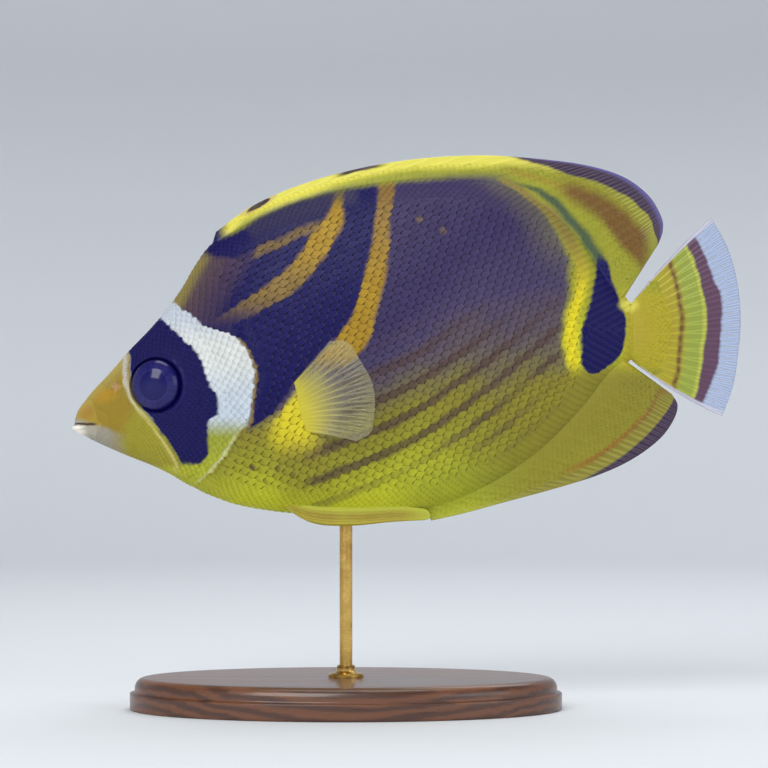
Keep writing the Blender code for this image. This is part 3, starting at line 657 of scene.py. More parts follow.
step = np.hypot(lie[:, 0], lie[:, 2]) / PER_MM * HEAD_SPREAD
lie /= np.linalg.norm(lie, axis=-1, keepdims=True)
face_scales = lay_scales("face_scales", skin_at, s[head], t[head], lie, 1.28 * step, 0.56 * step,
                         np.clip(0.15 * step, 0.05, 0.30), FINE, body_map, seed=7)

# %% [markdown]
# ## Fins
# Each fin is a thin sheet between bony rays. Spines are single stiff rods; soft rays fork twice on
# their way to the margin, which gives the fan its fine pleats. A sheet with a thickness that is a
# function of both parameters gives web, rays and forks in one surface, and closes at the rim.
# The first parameter runs along the root and the second from the root to the margin.

# %% Fin outlines
# root x, root z, margin x, margin z, in mm
DORSAL = np.array([
    (35.2, 70.6, 36.0, 73.3), (40.0, 74.4, 45.0, 79.7), (47.5, 78.3, 57.0, 85.0), (59.5, 82.8, 72.0, 89.2),
    (73.2, 86.0, 87.0, 91.6), (87.0, 87.7, 102.0, 92.4), (99.5, 87.6, 115.0, 91.7),
    (110.8, 84.8, 127.8, 90.1), (119.5, 80.0, 137.5, 87.2), (126.5, 73.6, 144.0, 82.5),
    (132.0, 65.9, 147.3, 77.1), (135.3, 60.6, 147.7, 73.6), (138.0, 56.8, 146.7, 70.4),
])
ANAL = np.array([
    (88.0, 4.3, 89.8, 1.1), (92.0, 5.2, 97.5, 2.8), (98.2, 7.2, 108.2, 5.7), (105.8, 10.8, 120.0, 8.9),
    (114.5, 16.6, 131.3, 12.4), (122.0, 23.1, 140.0, 16.4), (128.3, 29.6, 146.8, 21.4),
    (133.2, 35.6, 150.3, 26.1), (136.5, 38.6, 151.4, 29.9), (138.8, 40.8, 150.0, 32.7),
])
TAIL = np.array([
    (139.8, 41.0, 162.5, 27.2), (139.8, 42.8, 165.3, 34.9), (139.8, 45.4, 166.6, 43.4),
    (139.8, 48.3, 167.2, 51.9), (139.8, 51.2, 166.3, 60.9), (139.8, 53.8, 163.9, 69.4),
    (139.8, 55.6, 159.8, 76.9),
])
FIN_ROOT, WEB, RIM = 1.40, 0.17, 0.07   # half-thicknesses in mm
SOFT_RIDGE, SPINE_RIDGE = 0.24, 0.30
FIN_SINK = 2.6                          # mm that a fin runs on into the body
SPINE_COLUMNS, RAY_COLUMNS = 10, 16     # columns of points for each spine and ray


# %% Rays
def ray_ridges(p, share, spines, rays, spiny_share):
    """Height of spines and forked rays, from 0 to 1, and a mark that is 1 on spines. Within one
    ray's width the ray is a bell at the middle, which parts into two that draw away from each
    other with the distance from the root, and then into four."""
    in_spines = p < spiny_share
    f = np.where(in_spines, p / max(spiny_share, 1e-6) * max(spines, 1),
                 (p - spiny_share) / (1 - spiny_share) * rays)
    f = f - np.floor(f) - 0.5
    first = 0.23 * eased(share, 0.30, 0.80)
    second = 0.11 * eased(share, 0.66, 0.98)
    folded = np.abs(np.abs(np.abs(f) - first) - second)
    soft = hump(folded, 0.0, 0.15 - 0.09 * eased(share, 0.2, 0.9))
    spine = hump(f, 0.0, 0.20 - 0.06 * share)
    return np.where(in_spines, spine, soft), in_spines.astype(float)


def soft_rays(p, share, rays):
    return ray_ridges(p, share, 0, rays, 0.0)[0]


def ray_point(table, p, share):
    """The place on the straight ray p at a share of its length."""
    pairs = along(table, p * (len(table) - 1))
    return pairs[..., :2] * (1 - share[..., None]) + pairs[..., 2:] * share[..., None]


def median_place(table, p, share):
    """Middle of a fin: straight from its root to its margin, and a little way on into the body."""
    last = len(table) - 1
    pairs = along(table, p * last)
    root, margin = pairs[..., :2], pairs[..., 2:]
    near = along(table, (p + 0.002) * last)[..., :2] - along(table, (p - 0.002) * last)[..., :2]
    inward = joined(near[..., 1], -near[..., 0])
    inward *= -np.sign((inward * (margin - root)).sum(-1, keepdims=True))
    inward *= FIN_SINK / np.maximum(np.linalg.norm(inward, axis=-1, keepdims=True), 1e-9)
    out, sunk = np.clip(share, 0, 1)[..., None], np.clip(-share, 0, 1)[..., None]
    return root * (1 - out) + margin * out + sunk * inward, np.linalg.norm(margin - root, axis=-1)


def to_rim(half, out, start=0.965, rim=RIM):
    """Half-thickness that runs out to the thin rim."""
    return half + (rim - half) * eased(out, start, 1.0)


def median_half(table, p, share, spines, rays, spiny_share):
    """Half-thickness in mm: the web, a swelling at the root, and the rays."""
    _, length = median_place(table, p, share)
    out = np.clip(share, 0, 1)
    ridge, spiny = ray_ridges(p, out, spines, rays, spiny_share)
    height = (SOFT_RIDGE + (SPINE_RIDGE - SOFT_RIDGE) * spiny) * ridge * np.clip(length / 8.0, 0.3, 1)
    height *= np.clip(0.15 + 3.0 * out, 0, 1) * (1 - 0.75 * out)
    half = to_rim(WEB + (FIN_ROOT - WEB) * (1 - out) ** 3 + height, out)
    ends = np.clip(np.minimum(p, 1 - p) * (spines + rays) * 2, 0, 1)
    return half * (0.35 + 0.65 * ends)


# %% Sheets
def closed_sheet(name, left, right, attribute):
    """Joins two like grids of points to a closed sheet: both faces, and a strip round the rim."""
    rows, columns = left.shape[:2]
    other = rows * columns
    rim = rim_of(np.arange(other).reshape(rows, columns))
    after = np.roll(rim, -1)
    faces = [grid_faces(rows, columns), grid_faces(rows, columns, flip=True) + other,
             joined(rim, rim + other, after + other, after)]
    piece = mesh_piece(name, np.stack([left, right]), faces)
    keep(piece, "fin", np.stack([attribute, attribute]))
    weld(piece, 1e-7)
    print(name, triangles(piece), "triangles")
    return piece


def sheet_about(name, flat, half, attribute):
    """A closed sheet from its middle plane, x and z in mm, and its half-thickness."""
    left, right = (placed(flat[..., 0], side * half, flat[..., 1]) for side in (-1, 1))
    return closed_sheet(name, left, right, attribute)


def median_fin(name, table, spines, rays, spiny_share, rows=34):
    """A fin of the midline, with two rows of points sunk in the body."""
    p = np.concatenate([np.linspace(0, spiny_share, spines * SPINE_COLUMNS, endpoint=False),
                        np.linspace(spiny_share, 1, rays * RAY_COLUMNS + 1)])
    share = np.concatenate([[-1.0, -0.4], np.linspace(0, 1, rows) ** 0.92])
    share, p = np.meshgrid(share, p, indexing="ij")
    ridge, _ = ray_ridges(p, np.clip(share, 0, 1), spines, rays, spiny_share)
    half = median_half(table, p, share, spines, rays, spiny_share)
    return sheet_about(name, median_place(table, p, share)[0], half, joined(p, share, ridge))


# %% Dorsal and anal fins
DORSAL_RAYS, ANAL_RAYS = (12, 22, 0.50), (3, 18, 0.16)  # spines, rays, share of the spines
dorsal = median_fin("dorsal_web", DORSAL, *DORSAL_RAYS)
anal = median_fin("anal_web", ANAL, *ANAL_RAYS)

# %% Tail fin
TAIL_RAYS = 17
TAIL_FLARE, TAIL_FLESH, STEM_HALF = 1.2, 0.42, 2.8 - 0.1    # the CAD's stem, let in by a skin


def tail_place(p, share):
    """Middle of the tail fin: straight rays, whose outer ones bow away from the fin's axis."""
    flat = ray_point(TAIL, p, share)
    side = (p - 0.5) * 2
    flat[..., 0] += 0.25 * (1 - share)
    flat[..., 1] += TAIL_FLARE * side * np.abs(side) * 4 * share * (1 - share)
    return flat


def tail_half(p, share):
    """Half-thickness in mm: the flesh of the stem, the web and the rays."""
    side = (p - 0.5) * 2
    stem = (STEM_HALF - WEB) * np.clip(1 - side ** 2, 0, 1) ** 0.6
    half = stem * np.clip(1 - share / TAIL_FLESH, 0, 1) ** 2 + WEB
    rays = SOFT_RIDGE * soft_rays(p, share, TAIL_RAYS) * np.clip(0.1 + 2.5 * share, 0, 1) * (1 - 0.7 * share)
    return to_rim(half + rays, share)


share, p = np.meshgrid(np.linspace(0, 1, 46) ** 1.05,
                       np.linspace(0, 1, TAIL_RAYS * RAY_COLUMNS + 1), indexing="ij")
tail = sheet_about("tail_web", tail_place(p, share), tail_half(p, share),
                   joined(p, share, soft_rays(p, share, TAIL_RAYS)))

# %% Pectoral fins
PECTORAL_FOOT = np.array([(55.3, 11.0, 34.9), (58.0, 11.4, 29.6), (59.6, 11.2, 23.6)])
PECTORAL_RIM = np.array([
    (64.8, 26.6, 45.6), (69.2, 31.2, 45.2), (73.0, 33.4, 40.2), (75.2, 33.0, 34.4),
    (75.9, 30.2, 28.4), (74.8, 25.8, 23.6), (71.4, 20.6, 21.3),
])
PECTORAL_RAYS = 15
PECTORAL_SINK, PECTORAL_WEB, PECTORAL_EDGE = 0.12, 0.09, 0.05   # share of the height, then mm


def fan(name, side, middle, half, attribute):
    """A paired fin from its middle and the way to its outer face, on one side of the fish."""
    flip = np.array((1.0, side, 1.0))
    return closed_sheet(name, (middle - half) * flip, (middle + half) * flip, attribute)


def pectoral(name, side):
    """A fan from a short fleshy foot, bent like an oar blade: foot and margin curves joined by
    straight rays, and bowed out in the middle by 4v(1-v) sin(pi p)."""
    share, p = np.meshgrid(np.linspace(-PECTORAL_SINK, 1, 44),
                           np.linspace(0, 1, PECTORAL_RAYS * RAY_COLUMNS + 1), indexing="ij")
    foot, rim = along(PECTORAL_FOOT, p * 2), along(PECTORAL_RIM, p * 6)
    middle = placed(*np.moveaxis(foot * (1 - share[..., None]) + rim * share[..., None], -1, 0))
    across = np.cross(middle[-1, -1] - middle[0, 0], middle[-1, 0] - middle[0, -1])
    across /= np.linalg.norm(across)
    out = share.clip(0)
    bow = 1.6 * MM * 4 * out * (1 - out) * np.sin(pi * p) + 0.35 * MM * np.sin(5 * pi * p) * out ** 2
    middle = middle + across * bow[..., None]
    ridge = soft_rays(p, out, PECTORAL_RAYS)
    flesh = 1.2 * np.clip(1 - out / 0.50, 0, 1) ** 3 * np.sin(pi * (0.12 + 0.76 * p))
    half = PECTORAL_WEB + flesh + 0.20 * ridge * np.clip(0.1 + 3 * out, 0, 1) * (1 - 0.7 * out)
    half = to_rim(half, out, 0.96, PECTORAL_EDGE) * MM
    return fan(name, side, middle, across * half[..., None], joined(p, share, ridge))


pectorals = [pectoral("pectoral_web_left", -1.0), pectoral("pectoral_web_right", 1.0)]

# %% Pelvic fins
PELVIC_UPPER = np.array([
    (51.0, 2.6, 7.0), (60.0, 3.4, 5.2), (72.0, 3.4, 4.7), (82.0, 3.0, 4.9), (89.4, 2.6, 4.0),
])
PELVIC_LOWER = np.array([
    (51.0, 2.0, 5.8), (60.0, 3.3, 0.7), (70.0, 3.3, 0.0), (80.0, 3.0, 0.9), (89.8, 2.6, 1.4),
])
PELVIC_TIP = 0.955              # share of the length at which the tip begins to round off


def pelvic(name, side):
    """A folded fin: a slim blade between an upper and a lower edge, closed by an elliptic tip, with
    a stout spine along the lower one and five soft rays above it."""
    share, p = np.meshgrid(np.linspace(0, 1, 90), np.linspace(0, 1, 73), indexing="ij")
    upper, lower = along(PELVIC_UPPER, share * 4), along(PELVIC_LOWER, share * 4)
    tip = np.sqrt(np.clip(1 - np.clip((share - PELVIC_TIP) / 0.045, 0, 1) ** 2, 0.01, 1))
    across = (0.5 + (p - 0.5) * tip)[..., None]
    middle = placed(*np.moveaxis(lower * (1 - across) + upper * across, -1, 0))
    ridge = hump(np.mod(p * 6, 1), 0.5, 0.20)
    spine = hump(p, 0.09, 0.06) * eased(-share, -0.80, -0.55)
    taper = np.clip(1.1 - share, 0.1, 1)
    half = 0.14 + taper * (0.42 * np.sin(pi * (0.06 + 0.88 * p)) + 0.15 * ridge + 0.34 * spine)
    half = half * (0.35 + 0.65 * np.clip(np.minimum(p, 1 - p) * 14, 0, 1))
    return fan(name, side, middle, half[..., None] * np.array((0, MM, 0)), joined(p, share, ridge))


pelvics = [pelvic("pelvic_web_left", -1.0), pelvic("pelvic_web_right", 1.0)]

# %% [markdown]
# ## Scales on the fins
# A sheath of small scales runs from the body on to the bases of the dorsal, anal and tail fins,
# and hides where the body ends and the fin begins. The same builder lays them, with the fin's
# side as the surface.


# %% Fin scales
FIN_SCALE, SCALE_DEPTH = 1.5, 0.97      # mm between roots, and how far out in the fin they sit
ROW_PART, ROW_START = 0.44, 0.15        # row distance in spacings, and the first row's place in rows
FIN_PLACES = 500                        # along a fin, between which the roots are found


def fin_carrier(table, rays):
    """The left side of a fin of the midline as a surface for scales."""
    def side(p, share):
        flat = ray_point(table, p, share)
        return placed(flat[..., 0], -median_half(table, p, share, *rays) * SCALE_DEPTH, flat[..., 1])
    return side


def tail_carrier(p, share):
    flat = tail_place(p, share)
    return placed(flat[..., 0], -tail_half(p, share) * SCALE_DEPTH, flat[..., 1])


def fin_roots(carrier, far, p_range):
    """Roots in rows along a fin. The marks of a row are about the spacing apart, those of the next
    row stand between them, and the rows follow each other at less than half the spacing. Two rows
    are sunk in the body. far gives for each p how much of the fin's height is scaled."""
    found = []
    p_fine = np.linspace(*p_range, FIN_PLACES)
    root, margin, middle = (carrier(p_fine, np.full(FIN_PLACES, share)) / MM for share in (0.0, 1.0, 0.3))
    height = np.linalg.norm(margin - root, axis=-1)
    run = np.concatenate([[0], np.cumsum(np.linalg.norm(np.diff(middle, axis=0), axis=-1) / FIN_SCALE)])
    for k in range(-2, 60):
        share = (ROW_START + k) * FIN_SCALE * ROW_PART / height
        stride = np.linalg.norm(np.gradient(carrier(p_fine, share) / MM, axis=0), axis=-1) / np.gradient(run)
        marks = np.arange(0.25 + 0.5 * (k % 2), run[-1], 1.0)
        roots = joined(*(np.interp(marks, run, column) for column in (p_fine, share, stride)))
        found.append(roots[roots[:, 1] < far(roots[:, 0])])
    return np.concatenate(found)


def fin_map(p, share):
    return joined(0.02 + 0.96 * p, 0.09 + 0.4 * share)


def fin_scales(name, carrier, far, p_range, seed):
    """A sheath of scales on both sides of a fin, each lying along its ray."""
    p, share, stride = fin_roots(carrier, far, p_range).T
    lie = carrier(p, share + 0.02) - carrier(p, share)
    lie /= np.linalg.norm(lie, axis=-1, keepdims=True)
    size = np.full(len(p), FIN_SCALE)
    return lay_scales(name, carrier, p, share, lie, 1.20 * size, 0.53 * stride, 0.12 * size,
                      FINE, fin_map, seed)


dorsal_scales = fin_scales("dorsal_scales", fin_carrier(DORSAL, DORSAL_RAYS),
                           lambda p: np.interp(p, (0.04, 0.45, 0.7, 0.98), (0.30, 0.42, 0.64, 0.60)),
                           (0.03, 0.985), seed=11)
anal_scales = fin_scales("anal_scales", fin_carrier(ANAL, ANAL_RAYS),
                         lambda p: np.interp(p, (0.05, 0.4, 0.98), (0.55, 0.64, 0.58)),
                         (0.012, 0.985), seed=12)
tail_scales = fin_scales("tail_scales", tail_carrier,
                         lambda p: 0.34 - 0.10 * np.abs(2 * p - 1), (0.03, 0.97), seed=13)

# %% [markdown]
# ## Eyes
# The real eye is a flattened ball in a socket, with a clear cornea that bulges a little in front of
# a large pupil. One surface gives all of it: an ellipsoid turned slightly forward, with a bulge over
# the pupil and a shallow groove where the cornea meets the white. Gloss comes from the coat of its
# finish, which is sharp and clear over dark colours.

# %% Eyeballs
EYE_RADII, EYE_DEPTH, EYE_TURN = (6.3, 3.4, 6.5), 4.7, 0.20
EYE_ROWS, EYE_SIDES = 64, 96


def eyeball(name, side):
    """A ball given by the angle from its outer pole and the turn about it, squeezed to three radii,
    its surface moved along the radius by the bulge and the groove, then turned about the upright.
    The finish gets the distance from the pole's axis, which is tripled on the hidden half."""
    far, about = np.meshgrid(np.linspace(0, pi, EYE_ROWS), np.linspace(0, 2 * pi, EYE_SIDES, endpoint=False),
                             indexing="ij")
    radial, outer = np.sin(far), far < pi / 2
    swell = 1 + 0.055 * eased(-radial, -0.66, -0.25) - 0.022 * hump(radial, 0.74, 0.05) * outer
    x = EYE_RADII[0] * radial * np.cos(about)
    z = EYE_RADII[2] * radial * np.sin(about)
    y = EYE_RADII[1] * np.cos(far) * swell
    cos, sin = np.cos(EYE_TURN), np.sin(EYE_TURN)
    points = placed(EYE_PLACE[0] + x * cos - y * sin, side * (EYE_DEPTH + x * sin + y * cos),
                    EYE_PLACE[1] + z)
    ball = mesh_piece(name, points, [grid_faces(EYE_ROWS, EYE_SIDES, wrap=True)])
    keep(ball, "ball", joined(radial * np.where(outer, 1, 3), np.cos(about), np.sin(about)))
    return weld(ball)


eyes = [eyeball("eyeball_left", -1.0), eyeball("eyeball_right", 1.0)]
print("eyes", [triangles(piece) for piece in eyes])

# %% [markdown]
# ## Display stand
# A turned oval of dark wood and a brass rod carry the fish, as in a museum case. The base is an
# oval whose edge is a moulding: the outline shrinks and rises along a profile of arcs. The rod has
# a small collar where it enters the wood.

# %% Base and rod
BASE, BASE_SIDES = (108.0, 64.0, 8.0), 192
ROD_X, ROD_RADIUS = 68.5 - BACK_OF_LIP, 1.6
EDGE_PROFILE = np.array([
    (0.0, 0.0), (-0.35, 0.0), (0.0, 0.35), (0.0, 2.0), (0.0, 3.9), (-0.25, 4.25), (-0.95, 4.45),
    (-1.15, 4.7), (-1.2, 5.1), (-1.3, 6.0), (-1.75, 7.0), (-2.5, 7.65), (-3.4, 7.95), (-4.4, 8.0),
])


def stand_base(name):
    """An oval carried along a profile: for each point of the profile the oval's outline is let in
    by the profile's first number along its own normal, at the height of the second."""
    a = np.linspace(0, 2 * pi, BASE_SIDES, endpoint=False)
    outline = joined(BASE[0] / 2 * np.cos(a), BASE[1] / 2 * np.sin(a))
    normal = joined(np.cos(a) / BASE[0], np.sin(a) / BASE[1])
    normal /= np.linalg.norm(normal, axis=-1, keepdims=True)
    edge = [(outline + normal * let_in, up)
            for let_in, up in along(EDGE_PROFILE[1:], np.linspace(0, len(EDGE_PROFILE) - 2, 60))]
    bottom = [(outline * share, 0.0) for share in (0.02, 0.5, 0.985)]
    top = [(edge[-1][0] * share, BASE[2]) for share in (0.8, 0.5, 0.2, 0.03)]
    rings = [joined(ring[:, 0], ring[:, 1], up) for ring, up in bottom + edge + top]
    points = np.concatenate(rings) * MM + np.array((ROD_X * MM, 0, 0))
    return weld(tube(name, points, len(rings), BASE_SIDES))


def turned(name, profile, sides):
    """A profile of radius and height, in mm, turned about the rod's axis."""
    a = np.linspace(0, 2 * pi, sides, endpoint=False)
    rings = [joined(np.cos(a) * r + ROD_X, np.sin(a) * r, z) for r, z in profile]
    return tube(name, np.concatenate(rings) * MM, len(profile), sides, sharp=0.6)


base = stand_base("stand_base_wood")
collar = turned("stand_collar", [
    (1.65, 7.6), (4.3, 7.6), (4.4, 8.05), (4.4, 8.7), (4.1, 9.0), (2.7, 9.25), (2.3, 9.6), (2.2, 10.2),
    (2.3, 10.7), (2.1, 11.0), (1.65, 11.05)], 64)
shaft = [(ROD_RADIUS, z) for z in (3.3, *np.linspace(4, 49.2, 24))]
rod = turned("stand_rod_brass", [(1.3, 3.0), *shaft, (1.5, 49.4)], 48)
print("stand", [triangles(piece) for piece in (base, collar, rod)])

# %% [markdown]
# ## Finishes written as sums
# A finish in Blender is a tree of nodes. Clicking hundreds of them together is slow to read, so a
# small class wraps a node's output. Adding or multiplying two of them adds the Math node, and one
# method makes any other node.

# %% Wires
class Wire:
    """One output of a node. Operators on it add Math nodes to the same tree."""

    def __init__(self, finish, socket):
        self.finish, self.socket = finish, socket

    def math(self, operation, *others):
        return self.finish.node("ShaderNodeMath", {"operation": operation}, dict(enumerate([self, *others])))

    def __add__(self, other):
        return self.math("ADD", other)

    def __mul__(self, other):
        return self.math("MULTIPLY", other)

    __radd__, __rmul__ = __add__, __mul__

    def __sub__(self, other):
        return self.math("SUBTRACT", other)

    def __rsub__(self, other):
        return self * -1.0 + other

    def __truediv__(self, other):
        return self.math("DIVIDE", other)

    def power(self, other):
        return self.math("POWER", other)

    def size(self):
        return self.math("ABSOLUTE")

    def least(self, other):
        return self.math("MINIMUM", other)

    def most(self, other):
        return self.math("MAXIMUM", other)

    def wave(self):
        return self.math("SINE")

    def rise(self, low, high):
        """0 at low, 1 at high, with the smooth S curve between; low may lie above high."""
        return self.finish.node("ShaderNodeMapRange", {"interpolation_type": "SMOOTHSTEP"},
                                {"Value": self, "From Min": low, "From Max": high})

    def past(self, soft):
        """0 below zero and 1 above it, over soft to either side."""
        return self.rise(-soft, soft)

    def near(self, centre, width, soft):
        """1 within width of centre, falling to 0 over soft."""
        return (self - centre).size().rise(width + soft, width - soft)

    def between(self, low, high, soft_low, soft_high):
        """1 between two wires, with a soft edge at each."""
        return (self - low).past(soft_low) * (high - self).past(soft_high)

    def curve(self, points):
        """The smooth curve through points (input, value), as one Float Curve."""
        points = np.array(points, float)
        low, span = points.min(0), np.ptp(points, axis=0)
        inside = self.finish.node("ShaderNodeFloatCurve", {"points": (points - low) / span},
                                  {"Value": (self - float(low[0])) / float(span[0])})
        return inside * float(span[1]) + float(low[1])


# %% Finishes
def draw_curve(mapping, points):
    """Sets a Float Curve to pass through points, with level ends."""
    mapping.extend = "HORIZONTAL"
    line = mapping.curves[0]
    for _ in range(len(points) - 2):
        line.points.new(0.5, 0.5)
    for spot, place in zip(line.points, points[np.argsort(points[:, 0])]):
        spot.location = place
        spot.handle_type = "AUTO_CLAMPED"
    mapping.update()


def draw_ramp(ramp, stops):
    while len(ramp.elements) < len(stops):
        ramp.elements.new(0.5)
    for stop, (place, colour) in zip(ramp.elements, stops):
        stop.position, stop.color = place, colour


class Finish:
    """A material with one Principled shader, whose node tree is built by method calls."""

    def __init__(self, name, **plain):
        self.material = bpy.data.materials.new(name)
        self.material.use_nodes = True
        self.tree = self.material.node_tree
        self.shader = self.tree.nodes["Principled BSDF"]
        for key, value in plain.items():
            self.shader.inputs[key.replace("_", " ")].default_value = value

    def node(self, kind, settings=None, values=None, out=0):
        """Any node: its type, its settings, the values or wires of its sockets, and which output."""
        made = self.tree.nodes.new(kind)
        for key, value in (settings or {}).items():
            if key == "points":
                draw_curve(made.mapping, value)
            elif key == "stops":
                draw_ramp(made.color_ramp, value)
            else:
                setattr(made, key, value)
        for key, value in (values or {}).items():
            if isinstance(value, Wire):
                self.tree.links.new(value.socket, made.inputs[key])
            else:
                made.inputs[key].default_value = value
        return Wire(self, made.outputs[out])

    def with_parts(self, where):
        """A vector and its three parts."""
        return where, *(self.node("ShaderNodeSeparateXYZ", values={0: where}, out=i) for i in range(3))

    def place(self):
        """Object coordinates, in metres, and their parts."""
        return self.with_parts(self.node("ShaderNodeTexCoord", out="Object"))

    def kept(self, name):
        """An attribute of the mesh, and its parts."""
        return self.with_parts(self.node("ShaderNodeAttribute", {"attribute_name": name}, out="Vector"))

    def blend(self, share, low, high, kind="MIX"):
        """Colour mix: low where share is 0, high where it is 1."""
        settings = {"data_type": "RGBA", "blend_type": kind}
        return self.node("ShaderNodeMix", settings, {0: share, 6: low, 7: high}, 2)

    def shade(self, share, colour, by):
        """The colour, and the colour times another where share is 1."""
        return self.blend(share, colour, by, "MULTIPLY")

    def paint(self, colour, *layers):
        """A colour under layers of others, each laid on by its share."""
        for share, over in layers:
            colour = self.blend(share, colour, over)
        return colour

    def noise(self, where, scale, detail=2.0, rough=0.5):
        return self.node("ShaderNodeTexNoise", {},
                         {"Vector": where, "Scale": scale, "Detail": detail, "Roughness": rough})

    def stretched(self, where, *scale):
        return self.node("ShaderNodeMapping", {}, {"Vector": where, "Scale": scale})

    def bump(self, height, distance, strength=1.0):
        return self.node("ShaderNodeBump", {}, {"Height": height, "Distance": distance, "Strength": strength})

    def feed(self, **wires):
        for key, wire in wires.items():
            self.tree.links.new(wire.socket, self.shader.inputs[key.replace("_", " ")])
        return self.material


def tint(red, green, blue):
    """A colour of 0 to 255 as painters' charts give it, as the linear light that shaders use."""
    light = (((c / 255 + 0.055) / 1.055) ** 2.4 if c > 10 else c / 3294.6 for c in (red, green, blue))
    return (*light, 1.0)


# %% [markdown]
# ## The markings
# Every marking on the fish has its outline on the side drawing. An edge that runs up the fish is a
# curve that gives `u` for each `v`, and an edge that runs along it gives `v` for each `u`. Comparing
# a place with its curve gives a mask, and the masks are painted one over the other. On a scale the
# place leans towards the scale's own middle, so edges are ragged by single scales as on the real
# fish.

# %% Colours
PURPLE, PURPLE_BROWN, OLIVE = tint(58, 48, 92), tint(98, 86, 88), tint(140, 132, 46)
BELLY_YELLOW, BREAST = tint(202, 206, 46), tint(222, 226, 60)
STRIPE, INK, SLATE = tint(84, 62, 58), tint(8, 4, 84), tint(52, 48, 84)
ORANGE_YELLOW, BRIGHT_YELLOW, DULL_YELLOW = tint(172, 136, 34), tint(232, 216, 36), tint(134, 108, 54)
WHITE, BLUE_WHITE = tint(226, 230, 225), tint(204, 216, 226)
OCHRE, JAW = tint(162, 138, 44), tint(167, 162, 145)
SNOUT_ORANGE, SNOUT_RED = tint(196, 150, 38), tint(160, 110, 48)
# The third colour on the next line is the painted highlight along the top of the dorsal ridge.
JAW_YELLOW, RIDGE_YELLOW, PAINTED_RIDGE_HIGHLIGHT = tint(164, 156, 48), tint(160, 162, 46), tint(236, 228, 90)
GREEN_BAND, EDGE_PURPLE, ORANGE_BROWN = tint(66, 88, 66), tint(54, 30, 74), tint(118, 78, 42)
FIN_YELLOW, ANAL_YELLOW, TAIL_YELLOW = tint(160, 160, 46), tint(144, 136, 40), tint(180, 168, 40)

# %% Edges on the drawing
LOW_LINE = [(220, 420), (260, 410), (300, 432), (340, 420), (380, 402), (410, 384), (440, 373), (470, 366),
            (500, 368), (530, 361), (560, 351), (590, 344), (640, 340)]
RUN = [(230, 0), (300, 22.8), (350, 41.8), (400, 61.5), (440, 86), (500, 130.5), (560, 182), (600, 211)]
STRIPE_COUNT = np.polyfit((397, 422, 451, 481, 510, 536, 559), (-2, -1, 0, 1, 2, 3, 4), 2)
BAR_LEFT = [(188, 347), (215, 345), (237, 341), (262, 329), (283, 315), (294, 297), (303, 277), (318, 254),
            (329, 236), (352, 246), (375, 254), (400, 252), (428, 246)]
BAR_RIGHT = [(188, 376), (215, 375), (242, 373), (283, 361), (319, 351), (344, 328), (370, 305), (395, 287),
             (411, 276), (428, 252)]
YELLOW_LEFT = [(188, 379), (229, 374), (268, 366), (308, 355), (334, 341), (360, 316), (372, 306)]
YELLOW_RIGHT = [(188, 395), (224, 390), (268, 387), (308, 377), (339, 369), (362, 352), (374, 334)]
WEDGE_TOP = [(262, 424), (281, 411), (298, 388), (318, 372)]
FORK_STEM = [(190, 340), (204, 338), (216, 336), (236, 325), (255, 314), (274, 298), (291, 279), (304, 260),
             (322, 234)]
FORK_WIDTH = [(190, 4), (204, 5), (216, 8), (236, 13), (255, 13), (274, 15), (291, 18), (325, 19)]
FORK_BRANCH = [(248, 261), (266, 249), (281, 244), (301, 233), (324, 226)]
WHITE_REAR = [(296, 168), (301, 172), (316, 193), (330, 213), (335, 232), (352, 249), (375, 257), (386, 256),
              (400, 254), (421, 251), (431, 242), (449, 231), (460, 223), (478, 205), (490, 190)]
MASK_REAR = [(312, 155), (320, 163), (334, 178), (357, 200), (385, 212), (404, 220), (413, 220), (419, 212),
             (430, 210), (451, 210), (461, 204), (467, 188)]
MASK_FRONT = [(345, 122), (356, 130), (369, 131), (390, 134), (406, 142), (420, 154), (434, 165), (441, 170),
              (464, 182)]
REAR_OF_DARK = [(184, 508), (191, 519), (212, 544), (239, 559), (268, 568), (290, 568), (320, 563),
                (345, 562), (372, 569)]
ORANGE_BAND = [(180, 505), (200, 533), (215, 552), (236, 567), (257, 577), (275, 582), (297, 578), (317, 571),
               (340, 569), (372, 574)]
GREEN_LINE = [(178, 505), (185, 524), (194, 544), (213, 564), (234, 582), (257, 597), (270, 602)]
SPOT_LEFT = [(250, 598), (266, 596), (290, 592), (314, 586), (338, 580), (356, 579), (366, 581), (371, 585),
             (375, 593)]
SPOT_RIGHT = [(250, 600), (262, 606), (278, 611), (300, 618), (326, 626), (346, 623), (358, 617), (366, 608),
              (371, 601), (375, 594)]
RIDGE_LOW = [(206, 252), (222, 238), (236, 232), (267, 213), (310, 197), (344, 189), (372, 185), (404, 182),
             (440, 179), (480, 177), (512, 180), (540, 188), (566, 206)]
TOP_LINE = [(216, 232), (229, 224), (247, 209), (296, 190), (344, 173), (368, 167), (413, 160), (480, 157),
            (516, 156), (564, 162), (612, 171)]
DORSAL_EDGE = [(490, 152), (505, 155), (520, 159), (533, 163), (551, 168), (569, 174), (587, 179), (605, 185),
               (623, 194), (641, 208), (650, 219), (654, 230), (660, 246)]
DORSAL_PATCH = [(498, 169), (516, 172), (533, 177), (551, 183), (569, 191), (587, 199), (605, 211),
                (623, 229), (641, 248)]
PATCH_WIDTH = [(545, 4), (569, 7), (587, 9), (605, 13), (623, 18), (646, 17)]
ANAL_EDGE = [(556, 494), (581, 481), (618, 459), (637, 444), (656, 425), (670, 406), (680, 385)]
ANAL_LINE = [(560, 473), (590, 460), (614, 444), (631, 429), (650, 410), (660, 390)]
DOTS = ((254, 467, 2.8, 0.8), (279, 466, 2.6, 0.5), (266, 481, 2.6, 0.35), (294, 474, 2.2, 0.4),
        (420, 220, 3.4, 0.5), (443, 232, 3.4, 0.45))       # u, v, radius, share
UPPER_FIN = [(180, 560), (200, 574), (220, 588), (240, 600), (260, 612), (300, 622)]
